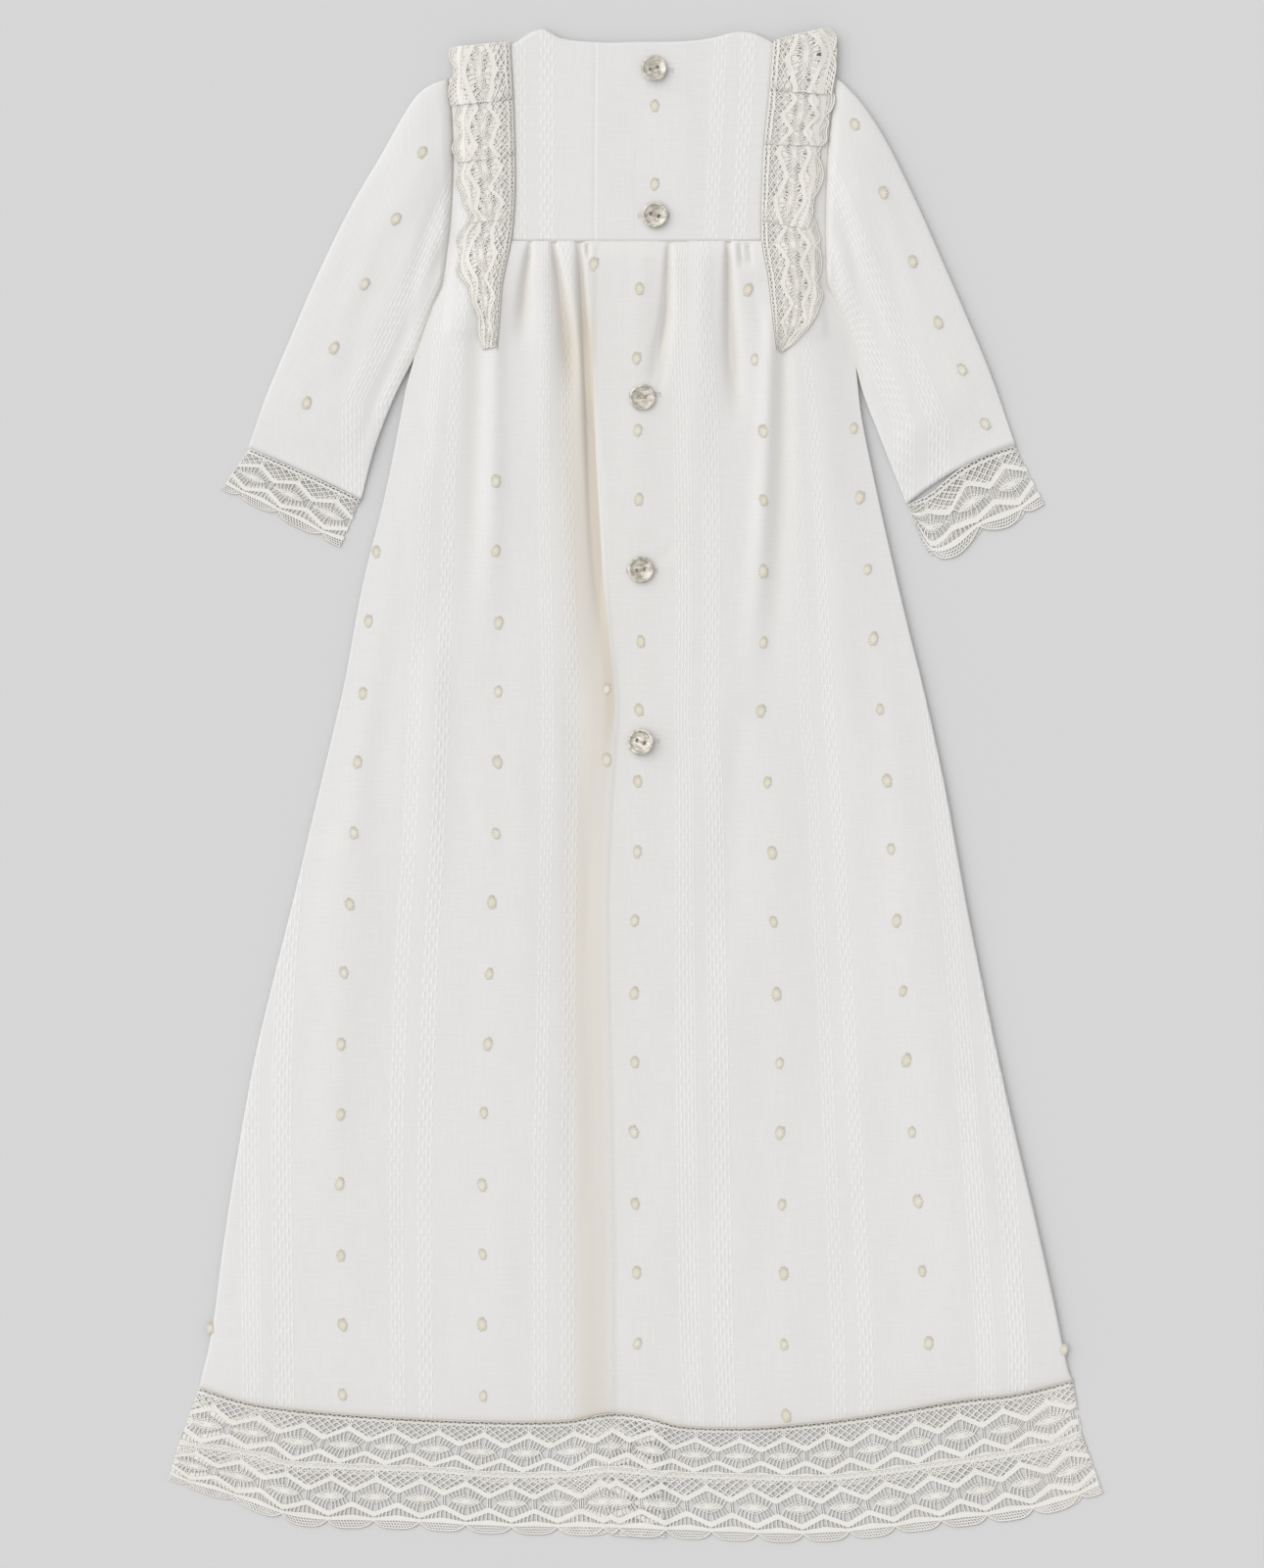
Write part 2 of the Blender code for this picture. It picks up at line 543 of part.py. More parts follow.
def make_back_ruffle(name, lace, rows, seam, under):
    tiers = []
    for index, row in enumerate(rows):
        if row[2]:
            tiers.append(index)
    tiers.append(len(rows))

    def place(column, row):
        (edge_x, edge_y), seam_y, _starts = rows[row]
        part = column / RUFFLE_COLUMNS
        seam_x = seam(seam_y)
        return blend(seam_x, edge_x, part), blend(seam_y, edge_y, part ** 0.8)

    lifts = {}
    for tier, start in enumerate(tiers[:-1]):
        last = tiers[tier + 1] - 1
        for row in range(start, last + 1):
            lifts[row] = (row - start) / max(1, last - start)

    where = {}
    for row in range(len(rows)):
        for column in range(RUFFLE_COLUMNS + 1):
            x, y = place(column, row)
            where[(round(x, 3), round(y, 3))] = (column / RUFFLE_COLUMNS, lifts[row])

    def bottom(x, y):
        across, lift = where[(round(x, 3), round(y, 3))]
        rest = highest(under, x, y, 3.5) + SEAM_GAP
        wave = 0.5 * across * math.sin(y / 7.0) ** 2
        return max(rest, 4.0) + RUFFLE_RISE * (0.25 + 0.75 * across) * lift + wave
    return panel(name, lace, RUFFLE_COLUMNS, len(rows) - 1, place, bottom)


def make_front_ruffle(name, lace, seam, side):
    """Plain scalloped strip under the front, from the shoulder to the ruffle's point."""
    top, low = 762.0, RUFFLE_POINT_Y

    def place(column, row):
        part = row / FRONT_RUFFLE_ROWS
        y = blend(top, low, part)
        scallop = 1.5 * (row % 2)
        taper = ease((1 - part) / 0.22)
        width = (FRONT_RUFFLE_WIDTH + scallop) * (0.6 + 0.4 * taper)
        x = seam(y) + side * (2 + width * column / 2)
        return x, y
    return panel(name, lace, 2, FRONT_RUFFLE_ROWS, place, lambda x, y: 0.0)


# ---------------------------------------------------------------- sleeves
def sleeve_point(sections, index, across):
    """Point of a section's middle line, and the width of that section."""
    outer, inner, bow = sections[index]
    run = Vector((inner[0] - outer[0], inner[1] - outer[1]))
    to_hand = Vector((-run.y, run.x)).normalized() * math.copysign(1.0, outer[0])
    point = Vector(outer) + run * across + to_hand * bow * 4 * across * (1 - across)
    return point, run.length


def sleeve_crease(creases, section, across):
    total = 0.0
    for start, end, place_start, place_end, height in creases:
        part = (section - start) / (end - start)
        if -0.3 < part < 1.3:
            centre = blend(place_start, place_end, min(1, max(0, part)))
            total += height * ease(1.3 - part) * math.exp(-((across - centre) / 0.1) ** 2)
    return total


def sleeve_ring(sections, creases, index, inset):
    """Ring of a laid sleeve's wall: the top layer from outer to inner edge, then the bottom back."""
    ring = []
    count = SLEEVE_STATIONS
    for step in range(2 * count - 2):
        on_top = step < count
        station = step if on_top else 2 * count - 2 - step
        across = (1 - math.cos(math.pi * station / (count - 1))) / 2
        point, width = sleeve_point(sections, index, across)
        crown = (4 * across * (1 - across)) ** 0.5
        end_inset = inset / width * math.cos(math.pi * station / (count - 1))
        point, _width = sleeve_point(sections, index, across + end_inset)
        if on_top:
            height = SLEEVE_EDGE + (SLEEVE_HEIGHT - SLEEVE_EDGE) * crown
            height += sleeve_crease(creases, index, across) * ease(crown * 1.4)
            z = max(height - inset, SLEEVE_EDGE + 0.35 * ease(4 * crown) * (inset > 0))
            if inset == 0:
                z = max(z, SLEEVE_EDGE + 1.5 * ease(4 * crown))
        else:
            z = SLEEVE_EDGE * (1 - min(1.0, crown * 1.6)) + inset * ease(4 * crown)
            z = max(0.0, z)
            if inset > 0:
                z = min(z, SLEEVE_EDGE)
        if station in (0, count - 1):
            z = SLEEVE_EDGE
        ring.append((point.x, point.y, z))
    return ring


def make_sleeve(name, cotton, sections, creases):
    """Flattened tube, a loft between unlike sections with an open hollow inside."""
    bm = bmesh.new()
    skins = []
    for inset in (0.0, WALL):
        rings = [[bm.verts.new(co) for co in sleeve_ring(sections, creases, index, inset)]
                 for index in range(len(sections))]
        skins.append(rings)
        for ring, following in zip(rings, rings[1:]):
            for step in range(len(ring)):
                after = (step + 1) % len(ring)
                bm.faces.new((ring[step], ring[after], following[after], following[step]))
    for end in (0, -1):
        outer, inner = skins[0][end], skins[1][end]
        for step in range(len(outer)):
            after = (step + 1) % len(outer)
            bm.faces.new((outer[step], outer[after], inner[after], inner[step]))
    bmesh.ops.triangulate(bm, faces=bm.faces)
    return finish(name, bm, cotton)


def make_cuff(side, lace):
    """Two layers of lace at the wrist, the upper one with its gaps cut through."""
    spec = CUFFS[side]
    repeats = spec["scallops"]

    def line(rows, part):
        xs = [(row[0], row[1]) for row in rows]
        ys = [(row[0], row[2]) for row in rows]
        return Vector((smooth(xs, part), smooth(ys, part)))

    def place(column, row):
        part = column / CUFF_COLUMNS
        depth = (0.0, 0.4, 0.6, 0.85, 1.0)[row]
        joint, edge = line(spec["joint"], part), line(spec["edge"], part)
        down = (edge - joint).normalized()
        notch = abs(math.cos(math.pi * repeats * part)) ** 4 * SCALLOP_DEPTH
        point = joint + down * 0.4 + (edge - joint - down * (0.4 + notch * depth)) * depth
        return point.x, point.y

    def hole(column, row):
        return row == 1 and column in (2, 6, 10)

    def arch(x, y):
        part = 1 - min(1.0, abs(x - middle) / 30)
        return BACK_FLOOR + 1.1 * ease(part)
    middle = (spec["joint"][0][1] + spec["joint"][-1][1] + spec["edge"][0][1]
              + spec["edge"][-1][1]) / 4
    panel(f"cuff_lace_{side}_under", lace, CUFF_COLUMNS, CUFF_ROWS, place, lambda x, y: 0.0, hole)
    panel(f"cuff_lace_{side}_top", lace, CUFF_COLUMNS, CUFF_ROWS, place, arch, hole)


# ---------------------------------------------------------------- buttons
def make_button(number, pearl, x, y, tilt_x, tilt_y, under):
    """Turned two-hole button with a raised rim, seated just above the cloth."""
    radius = BUTTON_DIAMETER / 2
    well = radius - BUTTON_RIM
    profile = [(0, 1.4), (well - 0.5, 1.4), (well + 0.2, BUTTON_HEIGHT), (radius - 0.4, BUTTON_HEIGHT - 0.1),
               (radius, BUTTON_HEIGHT - 0.9), (radius - 2.0, 0), (0, 0)]
    bm = bmesh.new()
    chain = [bm.verts.new((r, 0, z)) for r, z in profile]
    edges = [bm.edges.new(pair) for pair in zip(chain, chain[1:])]
    bmesh.ops.spin(bm, geom=chain + edges, cent=(0, 0, 0), axis=(0, 0, 1), angle=math.tau,
                   steps=16, use_merge=True)
    bmesh.ops.remove_doubles(bm, verts=bm.verts, dist=0.001)
    bmesh.ops.recalc_face_normals(bm, faces=bm.faces)
    tilt = Matrix.Rotation(math.radians(tilt_x), 4, "X") @ Matrix.Rotation(math.radians(tilt_y), 4, "Y")
    bmesh.ops.transform(bm, matrix=tilt, verts=bm.verts)
    lowest = min(vert.co.z for vert in bm.verts)
    seat = highest(under, x, y, 5.0) + SEAM_GAP - lowest
    middle = Vector((x - FOOTPRINT_MIDDLE[0], y - FOOTPRINT_MIDDLE[1], seat)) * MM
    bmesh.ops.scale(bm, vec=(MM, MM, MM), verts=bm.verts)
    mesh = bpy.data.meshes.new(f"button_{number}")
    bm.to_mesh(mesh)
    bm.free()
    mesh.shade_smooth()
    mesh.set_sharp_from_angle(angle=math.radians(40))
    mesh.materials.append(pearl)
    button = bpy.data.objects.new(f"button_{number}", mesh)
    button.location = middle
    bpy.data.collections[COLLECTION].objects.link(button)
    for side in (-1, 1):
        bpy.ops.mesh.primitive_cylinder_add(
            vertices=8, radius=BUTTON_HOLE / 2 * MM, depth=12 * MM,
            location=middle + Vector((side * BUTTON_HOLE_SPACING / 2 * MM, 0, 0)))
        cutter = bpy.context.object
        cutter.name = f"button_{number}_hole_{side + 2}"
        cutter.hide_render = True
        cutter.display_type = "WIRE"
        for holder in cutter.users_collection:
            holder.objects.unlink(cutter)
        bpy.data.collections["cutters"].objects.link(cutter)
        cut = button.modifiers.new(f"hole_{side + 2}", "BOOLEAN")
        cut.operation = "DIFFERENCE"
        cut.solver = "EXACT"
        cut.object = cutter


# ---------------------------------------------------------------- whole gown
def make_material(name, colour, roughness, metallic=0.0):
    material = bpy.data.materials.new(name)
    material.use_nodes = True
    shader = material.node_tree.nodes["Principled BSDF"]
    shader.inputs["Base Color"].default_value = (*colour, 1)
    shader.inputs["Roughness"].default_value = roughness
    shader.inputs["Metallic"].default_value = metallic
    return material


def main():
    for leftover in list(bpy.data.objects):
        bpy.data.objects.remove(leftover, do_unlink=True)
    for name in (COLLECTION, "cutters"):
        bpy.context.scene.collection.children.link(bpy.data.collections.new(name))
    cotton = make_material("striped_cotton", (0.84, 0.83, 0.81), 0.85)
    lace = make_material("bobbin_lace", (0.80, 0.77, 0.71), 0.9)
    pearl = make_material("mother_of_pearl", (0.62, 0.60, 0.56), 0.25, 0.3)

    make_front_ruffle("front_ruffle_left", lace, left_seam, -1)
    make_front_ruffle("front_ruffle_right", lace, right_seam, 1)
    make_front(cotton)
    make_back(cotton)
    make_hem_lace(lace)
    make_sleeve("sleeve_left", cotton, LEFT_SLEEVE, LEFT_SLEEVE_CREASES)
    make_sleeve("sleeve_right", cotton, RIGHT_SLEEVE, RIGHT_SLEEVE_CREASES)
    make_cuff("left", lace)
    make_cuff("right", lace)
    make_back_ruffle("back_ruffle_left", lace, LEFT_RUFFLE, lambda y: left_seam(y) - 1,
                     ["back_body_left", "sleeve_left"])
    make_back_ruffle("back_ruffle_right", lace, RIGHT_RUFFLE, lambda y: right_seam(y) + 1,
                     ["back_body_right", "sleeve_right"])
    cloth_under = ["back_yoke_left", "back_yoke_right", "back_body_left", "back_body_right"]
    for number, (x, y, tilt_x, tilt_y) in enumerate(BUTTONS, start=1):
        make_button(number, pearl, x, y, tilt_x, tilt_y, cloth_under)


main()
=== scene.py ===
"""Christening gown laid flat, buttoned back upwards: cloth, lace, buttons and stage.

Pattern sizes are in millimetres: x runs from the middle of the yoke to the right, y up from the
lowest scallop of the hem, z up from the floor. place() turns them into the frame's metres.
"""
import math

import bmesh
import bpy
import numpy as np
from mathutils import Matrix, Vector


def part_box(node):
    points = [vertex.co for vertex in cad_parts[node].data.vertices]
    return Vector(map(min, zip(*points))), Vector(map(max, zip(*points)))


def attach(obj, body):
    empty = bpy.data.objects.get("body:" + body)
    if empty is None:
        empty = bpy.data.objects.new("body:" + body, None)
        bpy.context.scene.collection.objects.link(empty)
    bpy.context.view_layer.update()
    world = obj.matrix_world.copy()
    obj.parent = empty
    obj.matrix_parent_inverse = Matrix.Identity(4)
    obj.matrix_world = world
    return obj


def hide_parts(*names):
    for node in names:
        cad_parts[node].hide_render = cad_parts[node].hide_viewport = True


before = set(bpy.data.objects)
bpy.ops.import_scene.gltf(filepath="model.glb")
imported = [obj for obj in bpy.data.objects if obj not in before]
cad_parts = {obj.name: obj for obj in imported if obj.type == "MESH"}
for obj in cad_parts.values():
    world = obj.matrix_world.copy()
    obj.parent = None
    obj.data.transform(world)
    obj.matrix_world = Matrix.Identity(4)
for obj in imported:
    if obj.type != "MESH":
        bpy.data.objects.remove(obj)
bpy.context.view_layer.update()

bl_info = {
    "name": "Christening gown",
    "version": (1, 0, 0),
    "blender": (4, 5, 0),
    "location": "View3D > Sidebar > Gown",
    "description": "Builds a laid christening gown of striped cotton and bobbin lace",
    "category": "Object",
}

MM = 0.001
FOOTPRINT_MIDDLE = (0.25, 386.1)
CAMERA_OVER = (-0.00175, 0.0009)    # point of the floor under the camera, in the frame
COTTON, LACE, PEARL = "striped_cotton", "bobbin_lace", "mother_of_pearl"

# ---------------------------------------------------------------- heights of the layers
FRONT_LEVEL = 0.3               # middle of the front cloth above the floor
BACK_LEVEL = 3.0                # middle of the back cloth where it lies on the front
SIDE_LEVEL = 2.7                # back cloth at the side seams, where it meets the front
ARMHOLE_LEVEL = 1.3             # back cloth at the armholes, under the heads of the sleeves
LACE_FRONT_LEVEL = 0.16
LACE_BACK_LEVEL = 0.45
OVERLAP_LIFT = 0.48             # the buttoned edge above the underlap
PIECE_GAP = 0.5                 # between a side of the body and a sleeve
UNDERLAP_TOP_X = 21.0
UNDERLAP_HEM_X = 16.0
YOKE_SEAM = 663.5
SKIRT_HEM = 60.0
PUFF_MARGIN = 22.0
SIDE_ROUND = 5.0                # how far in from the side seams the back curves down
HEM_LEVEL = 0.85                # back cloth at its hem
HEM_RUN = 14.0                  # how far above the hem the back starts to come down
FRONT_RUFFLE_WIDTH = 21.0
RUFFLE_POINT_Y = 624.0

# ---------------------------------------------------------------- outlines, as in the solids
LEFT_SIDE = [(79, -222.5), (107, -216), (152, -210), (197, -203), (247, -194), (287, -184.5),
             (327, -174.5), (367, -165), (407, -155.5), (437, -148.5), (488, -139), (534.5, -127.5),
             (575, -119.4), (589.5, -116.6), (599, -114), (607, -112), (617, -109.2),
             (627, -105.8), (637, -101)]
RIGHT_SIDE = [(82.5, 223.8), (87, 221.5), (127, 213), (167, 204), (207, 194.5), (247, 185.5),
              (287, 177), (327, 169), (387, 158), (437, 147), (467, 139.5), (507, 130),
              (541.5, 122.3), (575, 115.5), (590, 113.8), (604, 112.3), (619, 109.8), (631, 104.6),
              (640, 99.2)]
LEFT_SEAM = [(62, -77.5), (200, -78), (450, -74), (537, -72), (600, -70.5), (626.5, -68.5),
             (642.5, -67.2), (663.5, -63), (689, -61), (725.5, -61.5), (764, -63.5)]
RIGHT_SEAM = [(62, 81), (200, 78), (337, 70), (462, 63.5), (507, 66), (537, 67.5), (567, 70),
              (606.5, 71.8), (618.5, 70.5), (646.5, 67.5), (663.5, 64.6), (708.5, 65.5),
              (738, 68.3), (765.3, 70.5)]
PLACKET = [(0, -12), (62, -12), (187, -13), (312, -15), (362, -14), (402, -11.5), (429.5, -10),
           (462, -13), (512, -17.5), (569.5, -20.5), (663.5, -20.5), (772, -20)]
SHOULDER_LEFT = [(-95.5, 746), (-63.5, 764)]
SHOULDER_RIGHT = [(70.5, 765.3), (103.5, 747)]
NECKLINE = [(-63.5, 764), (-56, 768), (-47.5, 772.2), (-37.7, 767.5), (-16.5, 765.3), (0, 765.6),
            (25.5, 766), (41, 768), (50.5, 770.5), (60.5, 770), (70.5, 765.3)]
FRONT_NECKLINE = [(-63.5, 764), (-47.5, 772), (-38, 757), (-15, 741), (3, 738), (22, 741),
                  (41, 756), (50.5, 770), (70.5, 765.3)]
HEM = [(-222.5, 79), (-199, 71.5), (-172.5, 67.5), (-121.5, 63.5), (-70.5, 61.5), (-34.5, 62),
       (-12, 65.8), (6, 64), (23.5, 59.3), (55, 58.2), (77, 59.5), (112.8, 63.5), (166.3, 72.5),
       (193.5, 75.5), (223.8, 82.5)]
LACE_JOIN = [(-232.5, 51.5), (-193, 46), (-177.5, 41.5), (-152, 40), (-101, 38), (-68.5, 35.5),
             (-32.5, 36), (-13, 38.5), (16.5, 36), (55, 34.8), (97.5, 34.2), (152.5, 40.8),
             (207.5, 49.7), (228, 56)]
LACE_EDGE = [(-238.5, 32), (-225.5, 26.5), (-206.5, 20.5), (-187, 13), (-167.5, 8), (-121.5, 6.7),
             (-75.5, 4.4), (-32.5, 3.5), (4, 2.5), (30.5, 1.5), (75.8, 0), (99, 0.5), (122.5, 2.5),
             (145.5, 5.6), (167.5, 8), (191, 10.8), (217, 16), (239, 25)]
HEM_ENDS = (-222.5, 223.8)
JOIN_ENDS = (-232.5, 228.0)
EDGE_ENDS = (-238.5, 239.0)

# ---------------------------------------------------------------- folds of the back
# Gathers and long folds: top, middle and end as (x, y), height, half width at top and end
FOLDS = [
    ((-53.5, 662), (-56, 640), (-57.5, 612), -2.6, 1.3, 5.0),
    ((-41.5, 662), (-36, 625), (-31.5, 585), -3.0, 1.4, 5.5),
    ((-28.5, 662), (-23.8, 585), (-17.5, 465), -3.4, 1.6, 3.6),
    ((-24.5, 662), (-24, 658), (-24, 655), -1.6, 1.0, 1.2),
    ((17.5, 662), (16, 625), (10, 590), -2.4, 1.3, 4.5),
    ((47.5, 662), (49, 620), (52, 575), -2.8, 1.4, 5.5),
    ((53.5, 662), (54, 657), (55, 650), -1.6, 0.9, 1.8),
    ((57.5, 662), (58, 657), (59, 650), -1.6, 0.9, 1.8),
    ((-70.5, 640), (-72, 560), (-74, 470), 1.3, 4.0, 7.0),
    ((-80, 630), (-82, 560), (-84, 470), -0.9, 5.0, 7.0),
    ((69, 625), (66, 545), (60, 450), 1.4, 3.5, 6.0),
    ((76, 612), (75, 545), (70, 440), -1.2, 3.5, 7.0),
    ((-47.5, 655), (-46, 620), (-45, 540), 0.9, 4.5, 9.0),
    ((-33, 652), (-29, 600), (-27, 540), 0.7, 2.6, 5.0),
    ((34, 655), (33, 600), (31, 520), 0.8, 5.0, 9.0),
    ((4, 655), (3, 600), (2, 540), 0.4, 5.0, 9.0),
    ((-30, 437), (-29, 270), (-28, 70), -1.1, 8.0, 9.0),
    ((-102, 455), (-104, 390), (-107, 300), 0.9, 7.0, 9.0),
    ((52, 420), (50, 365), (49, 300), -0.6, 7.0, 9.0),
    ((-140, 380), (-152, 250), (-166, 110), 0.7, 10.0, 16.0),
    ((132, 400), (146, 260), (160, 110), 0.7, 10.0, 16.0),
    ((-118, 520), (-126, 430), (-140, 330), -0.5, 6.0, 10.0),
    ((96, 560), (104, 470), (116, 360), 0.5, 6.0, 10.0),
    ((88, 420), (94, 300), (100, 180), -0.4, 9.0, 14.0),
    ((-60, 400), (-58, 290), (-56, 170), 0.4, 8.0, 13.0),
    ((22, 380), (24, 270), (26, 150), 0.35, 9.0, 14.0),
    ((-190, 240), (-198, 180), (-205, 120), -0.4, 7.0, 10.0),
    ((180, 240), (192, 180), (202, 120), -0.4, 7.0, 10.0),
]
# Short wrinkles in any direction: one end, other end, height, half width
WRINKLES = [
    ((16, 407), (27, 399), -0.5, 1.8), ((10, 500), (19, 507), -0.35, 1.8),
    ((-3, 78), (6, 68), -0.45, 2.0), ((-86, 375), (-83, 367), -0.35, 4.0),
    ((13, 590), (15, 597), -0.3, 1.6), ((-11, 415), (-6, 410), 0.3, 1.6),
    ((-4, 594), (9, 595), -0.3, 1.2), ((-120, 610), (-106, 560), -0.4, 3.0),
    ((-58, 660), (-50, 655), -0.25, 2.0), ((60, 640), (66, 610), -0.3, 2.0),
    ((-130, 300), (-118, 296), 0.25, 5.0), ((120, 330), (136, 322), 0.25, 5.0),
    ((40, 150), (56, 146), 0.25, 4.0), ((-180, 130), (-160, 124), 0.25, 4.0),
]
PUFF = [(60, 0.5), (300, 0.8), (480, 1.2), (590, 2.0), (640, 3.0), (655, 2.8), (661, 1.6),
        (663.5, 0.5), (680, 0.15), (772, 0.1)]

# ---------------------------------------------------------------- cloth pattern
SPOT_PITCH = 35.85
# Columns of clip spots: (height, x) down the column, and the first spot's height and the count
LEFT_SPOTS = [
    ([(640, -119), (505, -132), (430, -139.5), (359, -143.5), (288, -148.5), (217, -150.5),
      (75, -149)], 505.5, 13),
    ([(640, -66), (545, -71), (469, -70), (395, -70), (324, -73), (253, -75.5), (181, -78),
      (76, -77.5)], 541.5, 14),
    ([(652, -21), (435, -14.5), (399, -14.5), (62, -14)], 652.0, 1),
]
RIGHT_SPOTS = [
    ([(735, 10), (693, 10), (643, 2.5), (567, 1), (531, 2), (460, 2.5), (387, 1.5), (317, 0),
      (245, -0.5), (173, 0), (102, 1.5), (62, 4.5)], 639.5, 17),
    ([(660, 56), (639, 57.5), (602, 61.5), (566, 65), (456, 65), (420, 64.5), (384, 68),
      (311, 71), (239, 73.5), (167, 75), (61, 77)], 639.0, 17),
    ([(640, 104), (568, 111.5), (492, 118.5), (420, 125.5), (351, 131), (278, 136.5),
      (207, 141.5), (98, 150)], 568.5, 14),
    ([(640, 160), (400, 190), (200, 212), (98, 219)], 98.5, 1),
]
YOKE_SPOTS = [(10.0, 733.0), (10.0, 693.0)]
# A warp thread is named by the place where it meets the hem
LEFT_WARP = (-149.0, -77.5, -14.0)
RIGHT_WARP = (4.5, 77.0, 150.0, 219.0)
WIDE_STRIPES = (-186.8, 38.8, 187.5)
NARROW_STRIPES = (-113.5, -41.0, 111.5)

# ---------------------------------------------------------------- sleeves, cuffs and ruffles
LEFT_SLEEVE = [((-96.0, 747), (-100.2, 639), -4.2), ((-111.5, 737.5), (-102.8, 635), -2.0),
               ((-130, 706.5), (-107.6, 622.5), -0.6), ((-146.5, 678), (-113, 607), 0),
               ((-163.5, 642.5), (-120.5, 590.5), 0), ((-176.5, 612), (-128.5, 571.5), 0),
               ((-188, 584.5), (-134.5, 554), 0), ((-197, 558.5), (-140, 532.5), -0.6)]
RIGHT_SLEEVE = [((103.5, 747), (99.2, 641), -2.9), ((116, 733.5), (103, 634), -1.4),
                ((128.5, 714), (108.2, 622.5), -0.5), ((143.5, 683.5), (112.6, 606), 0),
                ((157, 653), (117.8, 584), 0), ((169, 625.5), (124.4, 566.5), 0),
                ((181.5, 595.5), (131.5, 548.5), -1.4), ((194, 559.8), (139, 530), -3.2)]
# How far a sleeve's inner edge laps onto the side of the body, by section
SLEEVE_LAP = [(0, 0.3), (0.8, 1.1), (2, 1.2), (3, 1.2), (3.6, 0.6), (4.2, 0), (7, 0)]
SLEEVE_EDGE = 2.4
SLEEVE_HEIGHT = 4.0
# Creases of a sleeve: section at start and end, place across at start and end, height, width
LEFT_SLEEVE_CREASES = [(0.2, 3.2, 0.55, 0.86, -1.0, 0.09), (0.4, 5.5, 0.3, 0.35, 0.5, 0.1),
                       (0.0, 1.6, 0.82, 0.9, -0.9, 0.06), (2.0, 6.8, 0.62, 0.7, 0.4, 0.08),
                       (3.2, 6.9, 0.86, 0.9, -0.6, 0.05), (0.1, 1.2, 0.3, 0.2, -0.5, 0.06)]
RIGHT_SLEEVE_CREASES = [(0.1, 3.0, 0.5, 0.84, -0.9, 0.09), (0.5, 5.5, 0.28, 0.3, 0.5, 0.1),
                        (0.0, 1.4, 0.8, 0.92, -0.7, 0.06), (2.4, 6.8, 0.6, 0.66, 0.4, 0.09),
                        (0.2, 1.6, 0.16, 0.12, -0.6, 0.06)]
LEFT_SLEEVE_SPOTS = [(-108.5, 709), (-122, 675), (-138, 642), (-153.5, 609.5), (-167.5, 581.5)]
RIGHT_SLEEVE_SPOTS = [(112, 723.5), (126.5, 688.5), (141.5, 653.5), (154.5, 622.5), (166.5, 598.5),
                      (178.5, 571)]
CUFFS = {
    "left": {"joint": [(0, -197.2, 558.0), (0.5, -168.6, 545.4), (1, -140.2, 532.0)],
             "edge": [(0, -211.5, 537.5), (0.5, -184, 524), (0.85, -160, 512), (1, -150.5, 508)],
             "repeats": 3},
    "right": {"joint": [(0, 194.2, 559.2), (0.2, 183.5, 556.1), (0.4, 172, 551.0),
                        (0.58, 162.5, 544.5), (0.79, 151, 534.6), (1, 139.2, 529.4)],
              "edge": [(0, 209, 530), (0.3, 191, 518.5), (0.5, 177, 514.5), (0.68, 164, 503.5),
                       (0.84, 151.5, 503), (1, 143.2, 519)],
              "repeats": 3},
}
# Back ruffles: seam height, free edge (x, y) and run of the lace in repeats, down each tier
LEFT_TIERS = [
    [(766, (-94, 763), 0.0), (757, (-94.5, 755), 0.45), (745, (-95, 744), 0.95),
     (736, (-93.5, 733), 1.35)],
    [(742, (-92, 740), 1.35), (728, (-92, 726), 1.95), (719, (-92.7, 713), 2.4),
     (707.5, (-92.2, 703.5), 2.9)],
    [(714, (-91.5, 709), 2.9), (697, (-91.5, 692), 3.6), (686, (-87, 680), 4.1),
     (675.5, (-84.5, 673), 4.6)],
    [(682, (-84, 678), 4.6), (665, (-91.5, 663), 5.4), (652, (-91, 648), 6.0),
     (642, (-86, 638), 6.5), (631, (-83, 627), 7.0), (619, (-80.5, 616), 7.5),
     (609.5, (-78.8, 608.2), 7.9)],
]
RIGHT_TIERS = [
    [(766, (99, 773), 0.0), (760, (103.5, 768), 0.4), (752, (104, 757), 0.85),
     (740.5, (100.5, 738.5), 1.45)],
    [(746, (101, 744), 1.45), (733, (101.6, 732), 2.0), (722, (98.5, 721), 2.5),
     (713, (98, 712), 2.95)],
    [(720, (95, 719), 2.95), (703, (96.2, 703), 3.7), (692, (95, 691.5), 4.2),
     (674, (88.5, 670), 5.0)],
    [(682, (91, 678), 5.0), (662, (95.8, 661), 5.9), (648, (95, 648), 6.5),
     (634, (95.5, 634), 7.1), (621, (90, 620.5), 7.7), (608.5, (75, 606.5), 8.5)],
]
TIER_RISE = 0.7                 # each tier's lower edge stands this far off the next

# Buttons: x, y, tilt about x and y in degrees
BUTTONS = [(9.6, 751.7, -7, 6), (10.2, 677.1, 2, 0), (3.8, 584.0, 0, 2), (3.0, 496.2, 0, 2),
           (3.2, 408.5, 0, -11)]
BUTTONHOLES = [(11.5, 751.0), (9.5, 677.0), (5.0, 585.5), (3.5, 495.6), (4.4, 408.9)]

# ---------------------------------------------------------------- bobbin lace
REPEAT = 23.6                   # along the edge
# Layers of lace folded in each tier of a ruffle: shift in repeats, drop, reach
RUFFLE_LAYERS = ((0.5, 0.0, 1.0), (0.9, 0.15, 0.95), (0.2, 0.28, 0.9))
LACE_DEPTH = 31.0               # footside to the scallop's tip
ROW_DEPTH = 25.4                # footside to the line under the arches
TRAIL_HIGH, TRAIL_LOW = 9.8, 21.7
TRAIL_WAVE_HIGH, TRAIL_WAVE_LOW = 2.45, 2.2
TRAIL_HALF = 1.25
SPIDER_MIDDLE = 15.65
LENSES = ((7.6, 2.9), (5.2, 1.95))
HEART = (2.3, 1.3)
